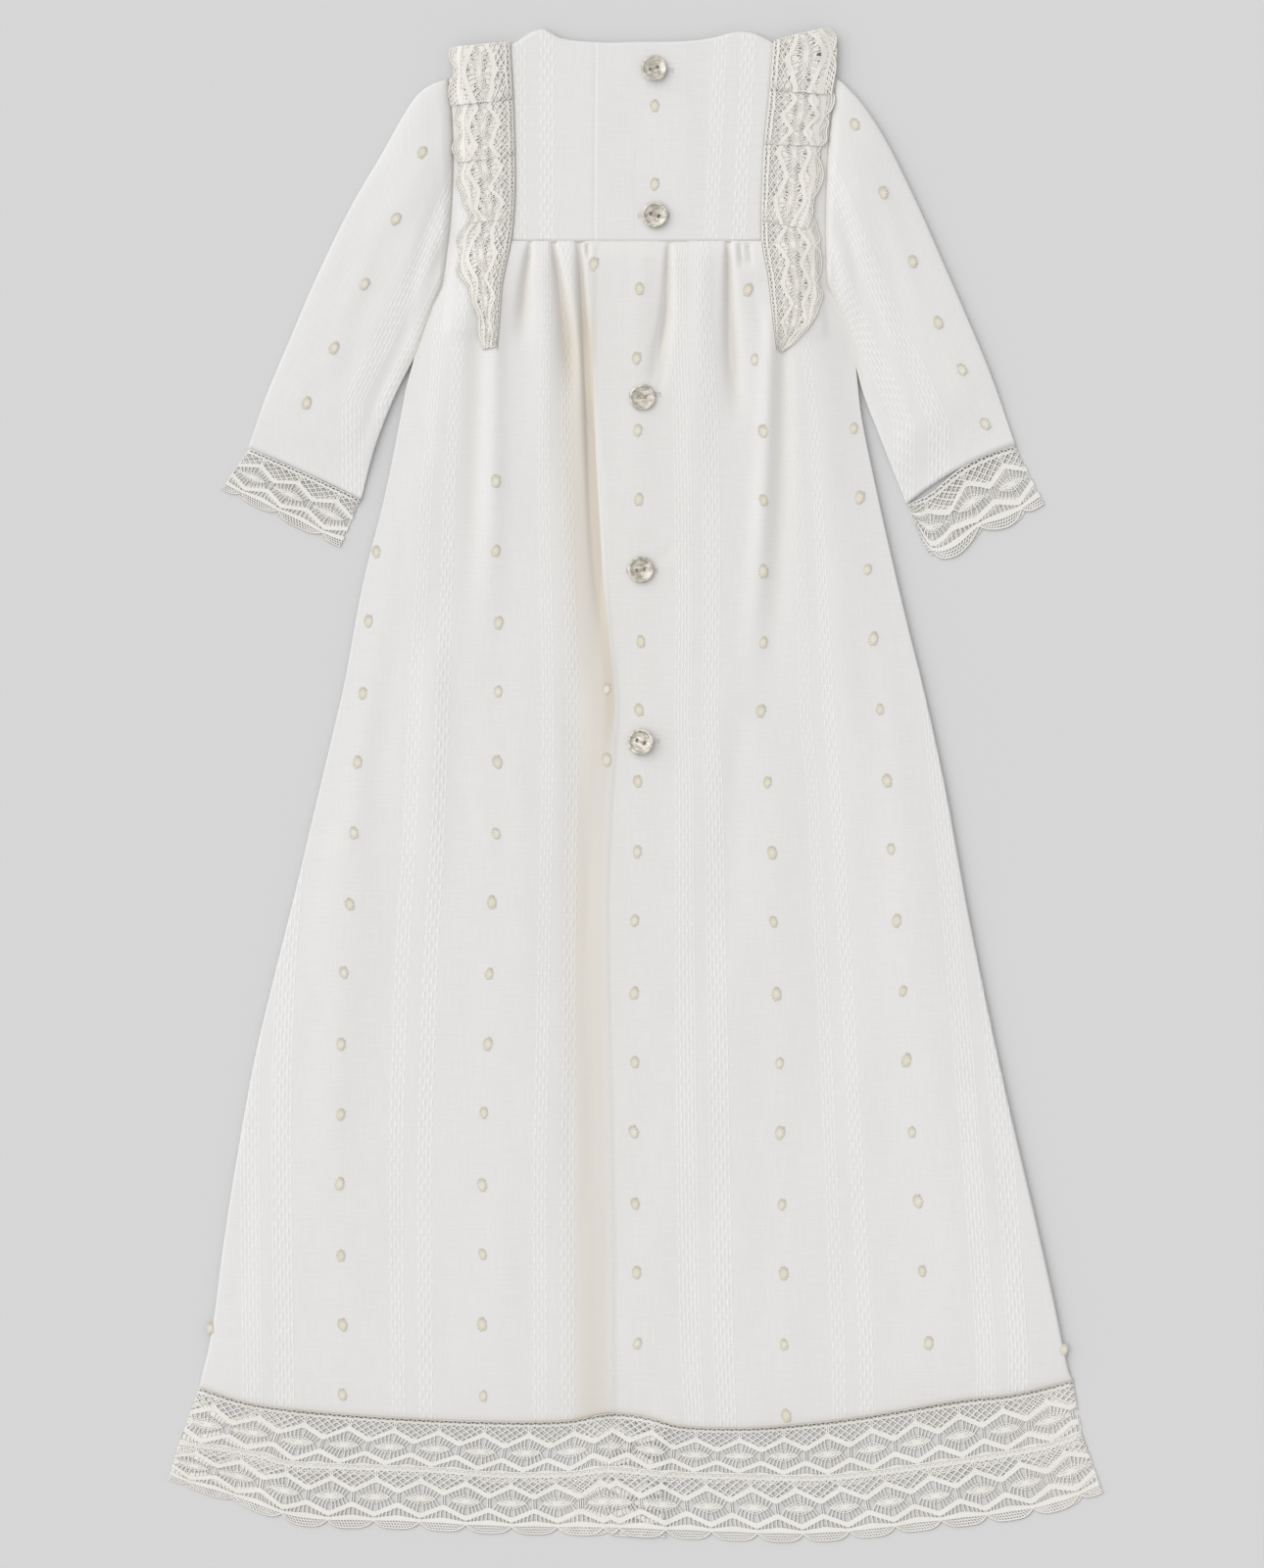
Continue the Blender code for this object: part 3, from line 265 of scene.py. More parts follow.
# Bars of a quarter spider: where they meet the trail, the outer lens and the heart
SPIDER_BARS = ((1.8, 1.25, 0.5), (3.8, 2.8, 1.15), (5.8, 4.4, 1.7), (7.8, 6.0, 2.05),
               (9.7, 7.2, 2.2))
FOOTSIDE = 2.0
NOTCH_DEPTH = 3.6
# Spiders of the hem's rows, as places on the scalloped edge: the first and the spacing outwards
HEM_SPIDERS = {"lower": {"left": (-15.75, -23.6), "right": (-7.5, 23.55)},
               "upper": {"left": (-32.5, -24.37), "right": (-13.9, 23.75)}}


# ---------------------------------------------------------------- curves
def ease(value):
    value = np.clip(value, 0.0, 1.0)
    return value * value * (3 - 2 * value)


def blend(low, high, part):
    return low + (high - low) * part


def curve(rows):
    """Function that gives the smooth curve through (position, value) rows, also for arrays."""
    at, values = (np.array(column, float) for column in zip(*sorted(rows)))
    inner = (values[2:] - values[:-2]) / (at[2:] - at[:-2])
    first = (values[1] - values[0]) / (at[1] - at[0])
    last = (values[-1] - values[-2]) / (at[-1] - at[-2])
    slopes = np.concatenate([[first], inner, [last]])

    def value(x):
        x = np.clip(x, at[0], at[-1])
        upper = np.clip(np.searchsorted(at, x), 1, len(at) - 1)
        lower = upper - 1
        span = at[upper] - at[lower]
        part = (x - at[lower]) / span
        return ((2 * part ** 3 - 3 * part ** 2 + 1) * values[lower]
                + (part ** 3 - 2 * part ** 2 + part) * slopes[lower] * span
                + (3 * part ** 2 - 2 * part ** 3) * values[upper]
                + (part ** 3 - part ** 2) * slopes[upper] * span)
    return value


def straight(rows, at):
    positions, values = zip(*sorted(rows))
    return np.interp(at, positions, values)


hem, lace_join, lace_edge = curve(HEM), curve(LACE_JOIN), curve(LACE_EDGE)
puff, placket = curve(PUFF), curve(PLACKET)


def armhole(sections, y):
    outer, inner, bow = sections[0]
    part = np.clip((outer[1] - y) / (outer[1] - inner[1]), 0.0, 1.0)
    to_hand = math.copysign(1.0, outer[0])
    return blend(outer[0], inner[0], part) + to_hand * bow * 4 * part * (1 - part)


def left_side(y):
    under_arm = LEFT_SLEEVE[0][1][1]
    return np.where(y > under_arm, armhole(LEFT_SLEEVE, y) + PIECE_GAP, curve(LEFT_SIDE)(y))


def right_side(y):
    under_arm = RIGHT_SLEEVE[0][1][1]
    return np.where(y > under_arm, armhole(RIGHT_SLEEVE, y) - PIECE_GAP, curve(RIGHT_SIDE)(y))


left_seam, right_seam = curve(LEFT_SEAM), curve(RIGHT_SEAM)


def underlap(y):
    return straight([(62, UNDERLAP_HEM_X), (400, UNDERLAP_TOP_X), (772, UNDERLAP_TOP_X)], y)


# ---------------------------------------------------------------- heights
def fold_height(x, y):
    """Sum of the gathers, folds and wrinkles at points of the back."""
    total = np.zeros(np.shape(x))
    for top, middle, end, height, width_top, width_end in FOLDS:
        part = (top[1] - y) / (top[1] - end[1])
        line = curve([(end[1], end[0]), (middle[1], middle[0]), (top[1], top[0])])
        width = blend(width_top, width_end, np.clip(part, 0.0, 1.0))
        fade = ease((1.15 - part) / 0.6) * ease((part + 0.12) / 0.2)
        across = (x - line(y)) / width
        total += 1.2 * height * fade * np.exp(-across * across)
    for start, end, height, width in WRINKLES:
        run = np.subtract(end, start)
        length = float(np.hypot(*run))
        along = ((x - start[0]) * run[0] + (y - start[1]) * run[1]) / length
        across = ((y - start[1]) * run[0] - (x - start[0]) * run[1]) / length
        beyond = np.maximum(0, np.maximum(-along, along - length)) / (2 * width)
        total += height * np.exp(-(across / width) ** 2 - beyond ** 2)
    return total


def ripple(x, y):
    """Slight unevenness that laid cloth always keeps."""
    soft = ease((YOKE_SEAM - y) / 60)
    return soft * (0.16 * np.sin(x / 11.3 + 1.7 * np.sin(y / 83.0)) * np.sin(y / 61.0 + x / 140.0)
                   + 0.12 * np.sin(x / 6.1 - y / 47.0) * np.sin(y / 39.0 + 1.3)
                   + 0.07 * np.sin(x / 3.7 + y / 19.0) * np.sin(y / 24.0 - x / 31.0))


def ruffle_bump(x, y):
    """The back rises over the lace ruffles that lie under the front."""
    reach = FRONT_RUFFLE_WIDTH + 8
    outward = np.where(x < 0, left_seam(y) - x, x - right_seam(y))
    above_point = ease((y - RUFFLE_POINT_Y + 12) / 8)
    return 1.1 * ease(outward / 4) * ease((reach - outward) / 5) * above_point


def from_side(x, y):
    """Distance in from the nearer side of the body."""
    return np.minimum(x - left_side(y), right_side(y) - x)


def side_share(x, y):
    """0 at a side seam, rising to 1 where the back has its full height."""
    return np.sqrt(np.clip(from_side(x, y) / SIDE_ROUND, 0.0, 1.0))


def side_drop(x, y, height):
    """The back curves down to the front along the side seams, and over the sleeves' heads."""
    level = blend(SIDE_LEVEL, ARMHOLE_LEVEL, ease((y - 630) / 12))
    return blend(level, height, side_share(x, y))


def hem_drop(x, y):
    """How far the back comes down towards its hem."""
    drop = blend(SIDE_LEVEL - 0.6, BACK_LEVEL - HEM_LEVEL, side_share(x, y))
    return drop * np.exp(-np.clip(y - hem(x), 0, None) / HEM_RUN)


def front_height(x, y):
    """The front lies on the floor and comes up a little along the side seams."""
    side = from_side(x, y)
    below_arm = 1 - ease((y - 600) / 25)
    up = (SIDE_LEVEL - FRONT_LEVEL - 0.4) * np.exp(-(side / 7) ** 2) * below_arm
    up = up * (1 - np.exp(-np.clip(y - hem(x), 0, None) / HEM_RUN))
    return FRONT_LEVEL + up + 0.75 * ruffle_bump(x, y)


def skirt_height(x, y):
    fade = ease(from_side(x, y) / PUFF_MARGIN)
    rise = np.maximum(0.0, (puff(y) + fold_height(x, y) + ripple(x, y) + 0.25) * fade)
    return side_drop(x, y, BACK_LEVEL + rise + ruffle_bump(x, y)) - hem_drop(x, y)


def left_height(x, y):
    """Left back, its underlap flat under the buttoned edge."""
    flat = ease((x - placket(y)) / 6 + 0.2)
    full = skirt_height(x, y)
    calm = BACK_LEVEL + puff(y) * 0.4 - hem_drop(x, y)
    return blend(full, np.minimum(full, calm), flat)


def right_height(x, y):
    """Right back, lying over the underlap."""
    free = ease((x - underlap(y) - 1.0) / 16.0)
    over = left_height(np.minimum(x, underlap(y)), y) + OVERLAP_LIFT
    full = skirt_height(x, y)
    return np.maximum(full, blend(over, full, free))


def yoke_height(x, y):
    swell = 0.35 * np.sin(x / 21.0) ** 2 * ease((772 - y) / 60)
    return BACK_LEVEL + 0.1 + swell + 0.06 * np.sin(x / 7.0 + y / 13.0)


def yoke_left_height(x, y):
    """The left half swells a little beside the buttoned edge and lies flat under it."""
    beside = x - placket(y)
    swell = np.where(beside < -0.5, np.exp(-((beside + 0.5) / 9) ** 2),
                     ease(1 - (beside + 0.5) / 1.2))
    return yoke_height(x, y) + (OVERLAP_LIFT - 0.1) * swell


def yoke_right_height(x, y):
    free = ease((x - UNDERLAP_TOP_X - 1.0) / 16.0)
    return yoke_height(x, y) + OVERLAP_LIFT * (1 - free)


# ---------------------------------------------------------------- making meshes
def place(x, y, z):
    """Pattern millimetres to the frame's metres, as rows of three."""
    middle_x, middle_y = FOOTPRINT_MIDDLE
    return np.column_stack([(x - middle_x) * MM, (y - middle_y) * MM, z * MM])


def to_mesh(name, bm):
    mesh = bpy.data.meshes.new(name)
    bm.to_mesh(mesh)
    bm.free()
    return mesh


def coordinates(mesh):
    points = np.empty(len(mesh.vertices) * 3)
    mesh.vertices.foreach_get("co", points)
    return points.reshape(-1, 3)


def set_coordinates(mesh, points):
    mesh.vertices.foreach_set("co", np.ascontiguousarray(points, dtype=np.float32).ravel())
    mesh.update()


def add_map(mesh, values_u, values_v, name="cloth"):
    """UV map in metres of cloth."""
    corners = np.empty(len(mesh.loops), dtype=np.int32)
    mesh.loops.foreach_get("vertex_index", corners)
    layer = mesh.uv_layers.new(name=name)
    layer.uv.foreach_set("vector", np.column_stack([values_u[corners], values_v[corners]])
                         .astype(np.float32).ravel())


def add_values(mesh, name, values):
    attribute = mesh.attributes.new(name, "FLOAT", "POINT")
    spread = np.broadcast_to(values, len(mesh.vertices))
    attribute.data.foreach_set("value", spread.astype(np.float32))


def add_piece(name, mesh, material, slot, *nodes):
    piece = bpy.data.objects.new(name, mesh)
    bpy.context.scene.collection.objects.link(piece)
    mesh.materials.clear()
    mesh.materials.append(material)
    mesh.shade_smooth()
    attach(piece, "root")
    if nodes:
        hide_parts(*nodes)
    return piece


def thicken(piece, thickness, offset=0.0):
    wall = piece.modifiers.new("thickness", "SOLIDIFY")
    wall.thickness = thickness * MM
    wall.offset = offset


def add_cloth(name, mesh, node, offset=0.0):
    """Cotton piece with the thickness of the cloth."""
    piece = add_piece(name, mesh, finish_of("striped_cotton_cloth"), COTTON, node)
    thicken(piece, bpy.context.scene.gown_sizes.cloth_thickness / MM, offset)
    return piece


def grid(name, columns, rows, keep=None):
    """Grid mesh, with each point's column and row as numbers."""
    bm = bmesh.new()
    bmesh.ops.create_grid(bm, x_segments=columns, y_segments=rows, size=0.5)
    if keep:
        gone = [face for face in bm.faces
                if not keep((face.calc_center_median().x + 0.5) * columns,
                            (0.5 - face.calc_center_median().y) * rows)]
        bmesh.ops.delete(bm, geom=gone, context="FACES")
    mesh = to_mesh(name, bm)
    points = coordinates(mesh)
    return mesh, np.round((points[:, 0] + 0.5) * columns), np.round((0.5 - points[:, 1]) * rows)


def evaluated_mesh(thing):
    graph = bpy.context.evaluated_depsgraph_get()
    graph.update()
    return bpy.data.meshes.new_from_object(thing.evaluated_get(graph))


def from_curve(name, lines, radius, closed=(), sides=0):
    """Mesh of threads, each a line of (x, y, z) points, drawn with one radius."""
    data = bpy.data.curves.new(name, "CURVE")
    data.dimensions = "3D"
    data.bevel_depth = radius
    data.bevel_resolution = sides
    data.use_fill_caps = True
    for index, line in enumerate(lines):
        spline = data.splines.new("POLY")
        spline.points.add(len(line) - 1)
        spline.points.foreach_set("co", [v for point in line for v in (*point, 1.0)])
        spline.use_cyclic_u = index in closed
    thing = bpy.data.objects.new(name, data)
    bpy.context.scene.collection.objects.link(thing)
    mesh = evaluated_mesh(thing)
    bpy.data.objects.remove(thing)
    bpy.data.curves.remove(data)
    return mesh


# ---------------------------------------------------------------- cloth panels
def guided(lines, counts):
    """Columns between guide lines, finer beside each guide."""
    places = []
    for index, count in enumerate(counts):
        part = (1 - np.cos(np.pi * np.arange(count) / count)) / 2
        part = blend(part, np.arange(count) / count, 0.35)
        places += [(index, value) for value in part]
    places.append((len(counts) - 1, 1.0))
    span = np.array([index for index, _part in places])
    share = np.array([part for _index, part in places])

    def column_x(column, y):
        column = column.astype(int)
        lower, upper = np.zeros(len(y)), np.zeros(len(y))
        for index in range(len(counts)):
            here = span[column] == index
            lower[here] = lines[index](y[here])
            upper[here] = lines[index + 1](y[here])
        return blend(lower, upper, share[column])
    return column_x, len(places) - 1


def gather(index):
    top, middle, end = FOLDS[index][:3]
    return curve([(60, end[0] * 1.15), (end[1], end[0]), (middle[1], middle[0]), (top[1], top[0]),
                  (772, top[0])])


def row_heights(low, high, rows, lean):
    """Row heights from high to low, closer at the top."""
    part = np.linspace(0, 1, rows + 1) ** lean
    return high - (high - low) * part


def body(name, lines, counts, side_columns, side_first, height, warp, strap_rows=40,
         skirt_rows=185):
    """Skirt panel with the strap of cloth beside the yoke."""
    column_x, columns = guided(lines, counts)
    heights = np.concatenate([np.linspace(755, YOKE_SEAM + 2.0, strap_rows),
                              row_heights(SKIRT_HEM + 4, YOKE_SEAM + 0.6, skirt_rows, 1.35),
                              [SKIRT_HEM + 2.6, SKIRT_HEM + 1.2, SKIRT_HEM]])
    rows = len(heights) - 1

    def keep(column, row):
        beside = column < side_columns if side_first else column > columns - side_columns
        return row > strap_rows or beside
    mesh, column, row = grid(name, columns, rows, keep)
    base = heights[row.astype(int)]
    to_hem = ease((330 - base) / (330 - SKIRT_HEM))
    to_shoulder = ease((base - YOKE_SEAM) / (755 - YOKE_SEAM))
    y = base.copy()
    for _settle in range(4):
        x = column_x(column, y)
        shoulder = np.where(x < 0, straight(SHOULDER_LEFT, x), straight(SHOULDER_RIGHT, x)) - 755
        y = base + to_shoulder * shoulder + to_hem * (hem(x) - SKIRT_HEM)
    set_coordinates(mesh, place(x, y, height(x, y)))
    s = warp_place(x, y, warp)
    add_cloth_maps(mesh, s, y)
    # painted shade in the deep gathers below the yoke
    deep = 0.4 * np.clip(-fold_height(x, y) / 2.6 - 0.08, 0, 1) * ease((y - 420) / 120)
    # painted shadow in a narrow band just left of the buttoned edge, except on the right back
    from_edge = x - placket(y)
    strength = 0.1 + 0.85 * ease((y - 390) / 45) * ease((640 - y) / 40)
    placket_shadow = np.exp(-((from_edge + 2.6) / 2.6) ** 2) * strength
    if not side_first:
        placket_shadow = 0
    # darker and warmer in a narrow band at the rolled hem
    rolled = 0.4 * ease(1.4 - (base - SKIRT_HEM) / 2.6)
    # painted shade in the broad soft trough left of the buttoned edge
    trough_shade = 0.6 * np.exp(-((from_edge + 10) / 9) ** 2) * ease((YOKE_SEAM - y) / 60)
    placket_shadow = placket_shadow + trough_shade
    # slightly darker and warmer down the middle of the skirt
    middle = 0.03 * np.exp(-((x - 6) / 26) ** 2) * ease((y - 200) / 300)
    centre = 0.05 * np.exp(-((x - 25) / 100) ** 4) + middle
    # the sum is the value by which the material mixes the cloth towards the fold shade colour
    add_values(mesh, "painted_shade_and_tone", np.clip(deep + placket_shadow + rolled + centre, 0, 1))
    return mesh


def warp_place(x, y, warp):
    """Where the warp thread through a point meets the hem."""
    spots, hem_places = warp
    lines = np.array([curve(rows)(y) for rows, _first, _count in spots])
    result = hem_places[0] + (x - lines[0])
    for index in range(1, len(lines)):
        between = x > lines[index - 1]
        part = (x - lines[index - 1]) / (lines[index] - lines[index - 1])
        inside = blend(hem_places[index - 1], hem_places[index], np.minimum(part, 1.0))
        result = np.where(between, inside + np.maximum(0, x - lines[index]), result)
    return result


def add_cloth_maps(mesh, s, along, wide=WIDE_STRIPES, narrow=NARROW_STRIPES):
    """Cloth map, and each point's distance from the nearest wide and narrow stripe."""
    add_map(mesh, s * MM, along * MM)
    add_values(mesh, "wide_stripe", np.min([np.abs(s - v) for v in wide], axis=0) * MM)
    add_values(mesh, "narrow_stripe", np.min([np.abs(s - v) for v in narrow], axis=0) * MM)


def yoke(name, left_line, right_line, neckline, columns, rows, height, narrow):
    """Yoke panel between two upright lines, from the seam up to the neckline."""
    mesh, column, row = grid(name, columns, rows)
    low = YOKE_SEAM + 0.2
    edge = curve(neckline)
    y = np.full(len(column), low)
    for _settle in range(5):
        x = blend(left_line(y), right_line(y), column / columns)
        y = blend(edge(x), low, row / rows)
    z = height(x, y)
    set_coordinates(mesh, place(x, y, z))
    lean = x + (765 - y) * 0.05 * (x > 0)
    add_cloth_maps(mesh, lean, y, (400.0,), narrow)
    # painted shade in a narrow band along the yoke seam
    add_values(mesh, "painted_shade_and_tone", 0.2 * np.exp(-((y - low) / 1.2) ** 2))
    return mesh


# ---------------------------------------------------------------- sleeves
def sleeve(name, sections, creases, spots):
    """Flattened tube, from the armhole to the wrist, open at both ends."""
    half, rows = 44, 76
    mesh, column, row = grid(name, 2 * half, rows)
    section = row / rows * (len(sections) - 1)
    index = np.arange(len(sections))

    def along(values):
        return curve(zip(index, values))(section)
    outer = [along([s[0][axis] for s in sections]) for axis in (0, 1)]
    inner = [along([s[1][axis] for s in sections]) for axis in (0, 1)]
    bow = along([s[2] for s in sections])
    on_top = column <= half
    station = np.where(on_top, column, 2 * half - column)
    across = (1 - np.cos(np.pi * station / half)) / 2
    run_x, run_y = inner[0] - outer[0], inner[1] - outer[1]
    width = np.hypot(run_x, run_y)
    to_hand = math.copysign(1.0, sections[0][0][0])
    bulge = to_hand * bow * 4 * across * (1 - across)
    x = outer[0] + run_x * across - run_y / width * bulge
    y = outer[1] + run_y * across + run_x / width * bulge
    crown = np.sqrt(np.clip(4 * across * (1 - across), 0, 1))
    top = SLEEVE_EDGE + (SLEEVE_HEIGHT - SLEEVE_EDGE) * crown
    for start, end, place_start, place_end, height, spread in creases:
        part = (section - start) / (end - start)
        centre = blend(place_start, place_end, np.clip(part, 0, 1))
        fade = ease(1.25 - part) * ease((part + 0.25) * 4)
        top += height * fade * np.exp(-((across - centre) / spread) ** 2) * ease(crown * 1.4)
    top += 0.12 * np.sin(across * 23 + section) * np.sin(section * 3.1) * crown
    bottom = SLEEVE_EDGE * (1 - np.minimum(1.0, crown * 1.8)) + 0.25
    z = np.where(on_top, np.maximum(top, SLEEVE_EDGE + 0.4 * crown), bottom)
    z = np.where((station == 0) | (station == half), SLEEVE_EDGE, z)
    puffed = 1.5 * np.exp(-((section - 1.3) / 1.3) ** 2) * crown * on_top
    head = np.sqrt(np.clip(section / 0.3, 0, 1))
    z = blend(np.where(on_top, 1.85, 0.75), z + puffed, head)
    wrist = ease((section - len(sections) + 2.3) / 1.2)
    level = np.where(on_top, 1.3 + 0.2 * crown, 1.3 - 1.05 * np.minimum(1.0, crown * 2.5))
    z = blend(z, np.minimum(z, level), wrist)
    lap = straight(SLEEVE_LAP, section)
    x = x - to_hand * lap * ease((across - 0.75) * 4) - to_hand * 0.8 * (1 - ease(section / 0.2))
    z = z + 0.35 * lap / 3 * ease((across - 0.85) * 6)
    set_coordinates(mesh, place(x, y, z))
    line = curve([(spot[1], spot[0]) for spot in spots])
    slope = abs(spots[0][0] - spots[-1][0]) / abs(spots[0][1] - spots[-1][1])
    distance = (line(y) - x) * to_hand / math.hypot(1, slope)
    run = section * 30.0
    add_cloth_maps(mesh, distance, run, (29.5,), (-36.0,))
    # painted shadow on the sleeve next to the armhole, and painted shade along its inner edge beside the
    # body
    painted_shade_and_tone = 0.55 * np.exp(-(section / 0.12) ** 2)
    at_body = on_top * ease((4.5 - section) / 1.5)
    painted_shade_and_tone = painted_shade_and_tone + 0.5 * np.exp(-((1 - across) / 0.035) ** 2) * at_body
    add_values(mesh, "painted_shade_and_tone", np.clip(painted_shade_and_tone, 0, 1))
    bm = bmesh.new()
    bm.from_mesh(mesh)
    bmesh.ops.remove_doubles(bm, verts=bm.verts, dist=0.00002)
    bmesh.ops.recalc_face_normals(bm, faces=bm.faces)
    bm.to_mesh(mesh)
    bm.free()
    return mesh


# ---------------------------------------------------------------- lace
def wave(x):
    """Rounded zigzag of the trails: 1 at the middle of a spider, -1 between two spiders."""
    turn = math.tau * x / REPEAT
    return (math.cos(turn) + math.cos(3 * turn) / 9) / 1.111


def upper_trail(x):
    return TRAIL_HIGH - TRAIL_WAVE_HIGH * wave(x)


def lower_trail(x):
    return TRAIL_LOW + TRAIL_WAVE_LOW * wave(x)


def arch_line(x):
    return ROW_DEPTH + 0.7 * wave(x)


def scallop_edge(x):
    """Depth of the scalloped edge: deepest between spiders, a notch under each one."""
    part = abs(x) / (REPEAT / 2) % 2
    part = min(part, 2 - part)
    return LACE_DEPTH - NOTCH_DEPTH * (1 - part) ** 3.6


def lens(half_width, half_height, x):
    return half_height * (1 - (abs(x) / half_width) ** 1.35)


def net_threads():
    """Footside with its zigzag, and the ground's crossing threads down to the upper trail."""
    half = REPEAT / 2
    pitch = REPEAT / 5
    lines = [[(x, v, 0) for x in np.linspace(-half, half, 5)]
             for v in (0.2, FOOTSIDE, FOOTSIDE + 0.55)]
    zigzag = [(-half + k * pitch / 2, 0.2 if k % 2 else FOOTSIDE, 0.05) for k in range(11)]
    lines.append(zigzag)
    for side in (-1, 1):
        for k in range(5):
            line = [(-half + (k + 0.5) * pitch, FOOTSIDE + 0.5, 0.08 * side)]
            while True:
                x, v, z = line[-1]
                x, v = x + side * pitch / 2, v + 1.62
                if v > upper_trail(x) - TRAIL_HALF + 0.8:
                    line.append((x, min(v, upper_trail(x)), z))
                    break
                line.append((x, v, z))
            lines.append(line)
    for x in (-0.5, 0.5):
        lines.append([(x, FOOTSIDE, 0.1), (x, upper_trail(0) - 1.0, 0.1)])
    return lines


def spider_threads():
    """Rings of the spider, its bars out to the trails, and the threads between two spiders."""
    rings, bars = [], []
    for size in LENSES:
        across = [size[0] * part for part in np.linspace(-1, 1, 15)]
        rings.append([(x, SPIDER_MIDDLE - lens(*size, x), 0.05) for x in across]
                     + [(x, SPIDER_MIDDLE + lens(*size, x), 0.05) for x in across[-2:0:-1]])
    for side in (-1, 1):
        for up in (-1, 1):
            for reach, crossing, root in SPIDER_BARS:
                edge = upper_trail(reach) + 1.0 if up < 0 else lower_trail(reach) - 1.0
                root_depth = HEART[1] * math.sqrt(1 - (root / HEART[0]) ** 2)
                bars.append([(side * root, SPIDER_MIDDLE + up * root_depth, 0),
                             (side * crossing, SPIDER_MIDDLE + up * lens(*LENSES[0], crossing),
                              0.1),
                             (side * reach, edge, 0)])
        join = side * (REPEAT / 2 - 0.55)
        bars.append([(join, upper_trail(join) + 1.0, 0), (join, lower_trail(join) - 1.0, 0)])
    return rings, bars


def arch_threads():
    """Ladder between the lower trail and the line under it."""
    half = REPEAT / 2
    bars = []
    for side in (-1, 1):
        for away, lean in ((1.1, 0.1), (3.2, 0.35), (5.2, 0.6), (7.1, 0.7), (8.9, 0.5),
                           (11.3, 0)):
            x = side * (half - away)
            bars.append([(x, lower_trail(x) + 1.0, 0), (x - side * lean, arch_line(x) + 0.4, 0)])
    return bars


def plate(bm, columns, rows, put, depth, holes=0.0):
    """Thin plate, a grid put in place by its column and row; each cell may have a hole."""
    part = bmesh.new()
    bmesh.ops.create_grid(part, x_segments=columns, y_segments=rows, size=0.5)
    bmesh.ops.scale(part, vec=(columns, rows, 1), verts=part.verts)
    bmesh.ops.translate(part, vec=(columns / 2, rows / 2, 0), verts=part.verts)
    if holes:
        cells = part.faces[:]
        bmesh.ops.inset_individual(part, faces=cells, thickness=holes)
        bmesh.ops.delete(part, geom=cells, context="FACES_ONLY")
    for vert in part.verts:
        x, v = put(vert.co.x, vert.co.y)
        vert.co = (x, v, -depth / 2)
    lifted = bmesh.ops.extrude_face_region(part, geom=part.faces[:])["geom"]
    top = [item for item in lifted if isinstance(item, bmesh.types.BMVert)]
    bmesh.ops.translate(part, vec=(0, 0, depth), verts=top)
    bmesh.ops.recalc_face_normals(part, faces=part.faces)
    for edge in part.edges:
        edge.smooth = edge.calc_face_angle(0.0) < 1.0
    mesh = to_mesh("plate", part)
    bm.from_mesh(mesh)
    bpy.data.meshes.remove(mesh)


def lace_repeat():
    """One repeat of the lace in its own plane: x along the edge, y the depth below the footside."""
    half = REPEAT / 2
    bm = bmesh.new()
    rings, bars = spider_threads()
    edge = [(x, scallop_edge(x) - 0.25, 0) for x in np.linspace(-half, half, 21)]
    for lines, radius, closed in ((net_threads(), 0.46, ()), (bars + arch_threads(), 0.36, ()),
                                  (rings, 0.3, (0, 1)), ([edge], 0.45, ())):
        mesh = from_curve("threads", lines, radius, closed)
        bm.from_mesh(mesh)
        bpy.data.meshes.remove(mesh)
    for centre in (upper_trail, lower_trail):
        plate(bm, 20, 2, lambda c, r, f=centre: (-half + c * REPEAT / 20,
                                                 f(-half + c * REPEAT / 20) + (r - 1) * TRAIL_HALF), 0.5)
    plate(bm, 8, 4, lambda c, r: (HEART[0] * ((c - 4) / 4) * math.sqrt(1 - ((r - 2) / 2) ** 2 / 2),
                                  SPIDER_MIDDLE + HEART[1] * ((r - 2) / 2)
                                  * math.sqrt(1 - ((c - 4) / 4) ** 2 / 2)), 0.6)

    def band_end(x):
        return arch_line(x) + 1.6 - 0.5 * wave(x)
    plate(bm, 16, 1, lambda c, r: (-half + c * REPEAT / 16,
                                   blend(arch_line(-half + c * REPEAT / 16) - 0.3,
                                         band_end(-half + c * REPEAT / 16), r)), 0.5)
    columns = 16

    def comb(column, row):
        x = -half + (column + (row - 1.5) * 0.5) * REPEAT / columns
        return x, blend(band_end(x), scallop_edge(x) - 0.3, row / 3)
    plate(bm, columns, 3, comb, 0.45, 0.24)
    return to_mesh("lace_repeat", bm)


def lace_band(name, unit, count, ends=None, start=0):
    """Run of repeats cut at two ends; x then counts repeats, whole numbers at the spiders."""
    low, high = ends or (0.5, count + 0.5)
    thing = bpy.data.objects.new(name, unit)
    bpy.context.scene.collection.objects.link(thing)
    array = thing.modifiers.new("repeats", "ARRAY")
    array.count = count + 2
    array.use_relative_offset = False
    array.use_constant_offset = True
    array.constant_offset_displace = (REPEAT, 0, 0)
    mesh = evaluated_mesh(thing)
    bpy.data.objects.remove(thing)
    bm = bmesh.new()
    bm.from_mesh(mesh)
    bpy.data.meshes.remove(mesh)
    bmesh.ops.translate(bm, vec=(start * REPEAT, 0, 0), verts=bm.verts)
    for at, direction in ((low, -1), (high, 1)):
        cut = bmesh.ops.bisect_plane(bm, geom=bm.verts[:] + bm.edges[:] + bm.faces[:], dist=0.0001,
                                     plane_co=(at * REPEAT, 0, 0), plane_no=(direction, 0, 0),
                                     clear_outer=True)
        edges = [item for item in cut["geom_cut"] if isinstance(item, bmesh.types.BMEdge)]
        bmesh.ops.holes_fill(bm, edges=edges, sides=0)
    bmesh.ops.triangulate(bm, faces=[face for face in bm.faces if len(face.verts) > 4])
    mesh = to_mesh(name, bm)
    points = coordinates(mesh)
    points[:, 0] = points[:, 0] / REPEAT
    return mesh, points


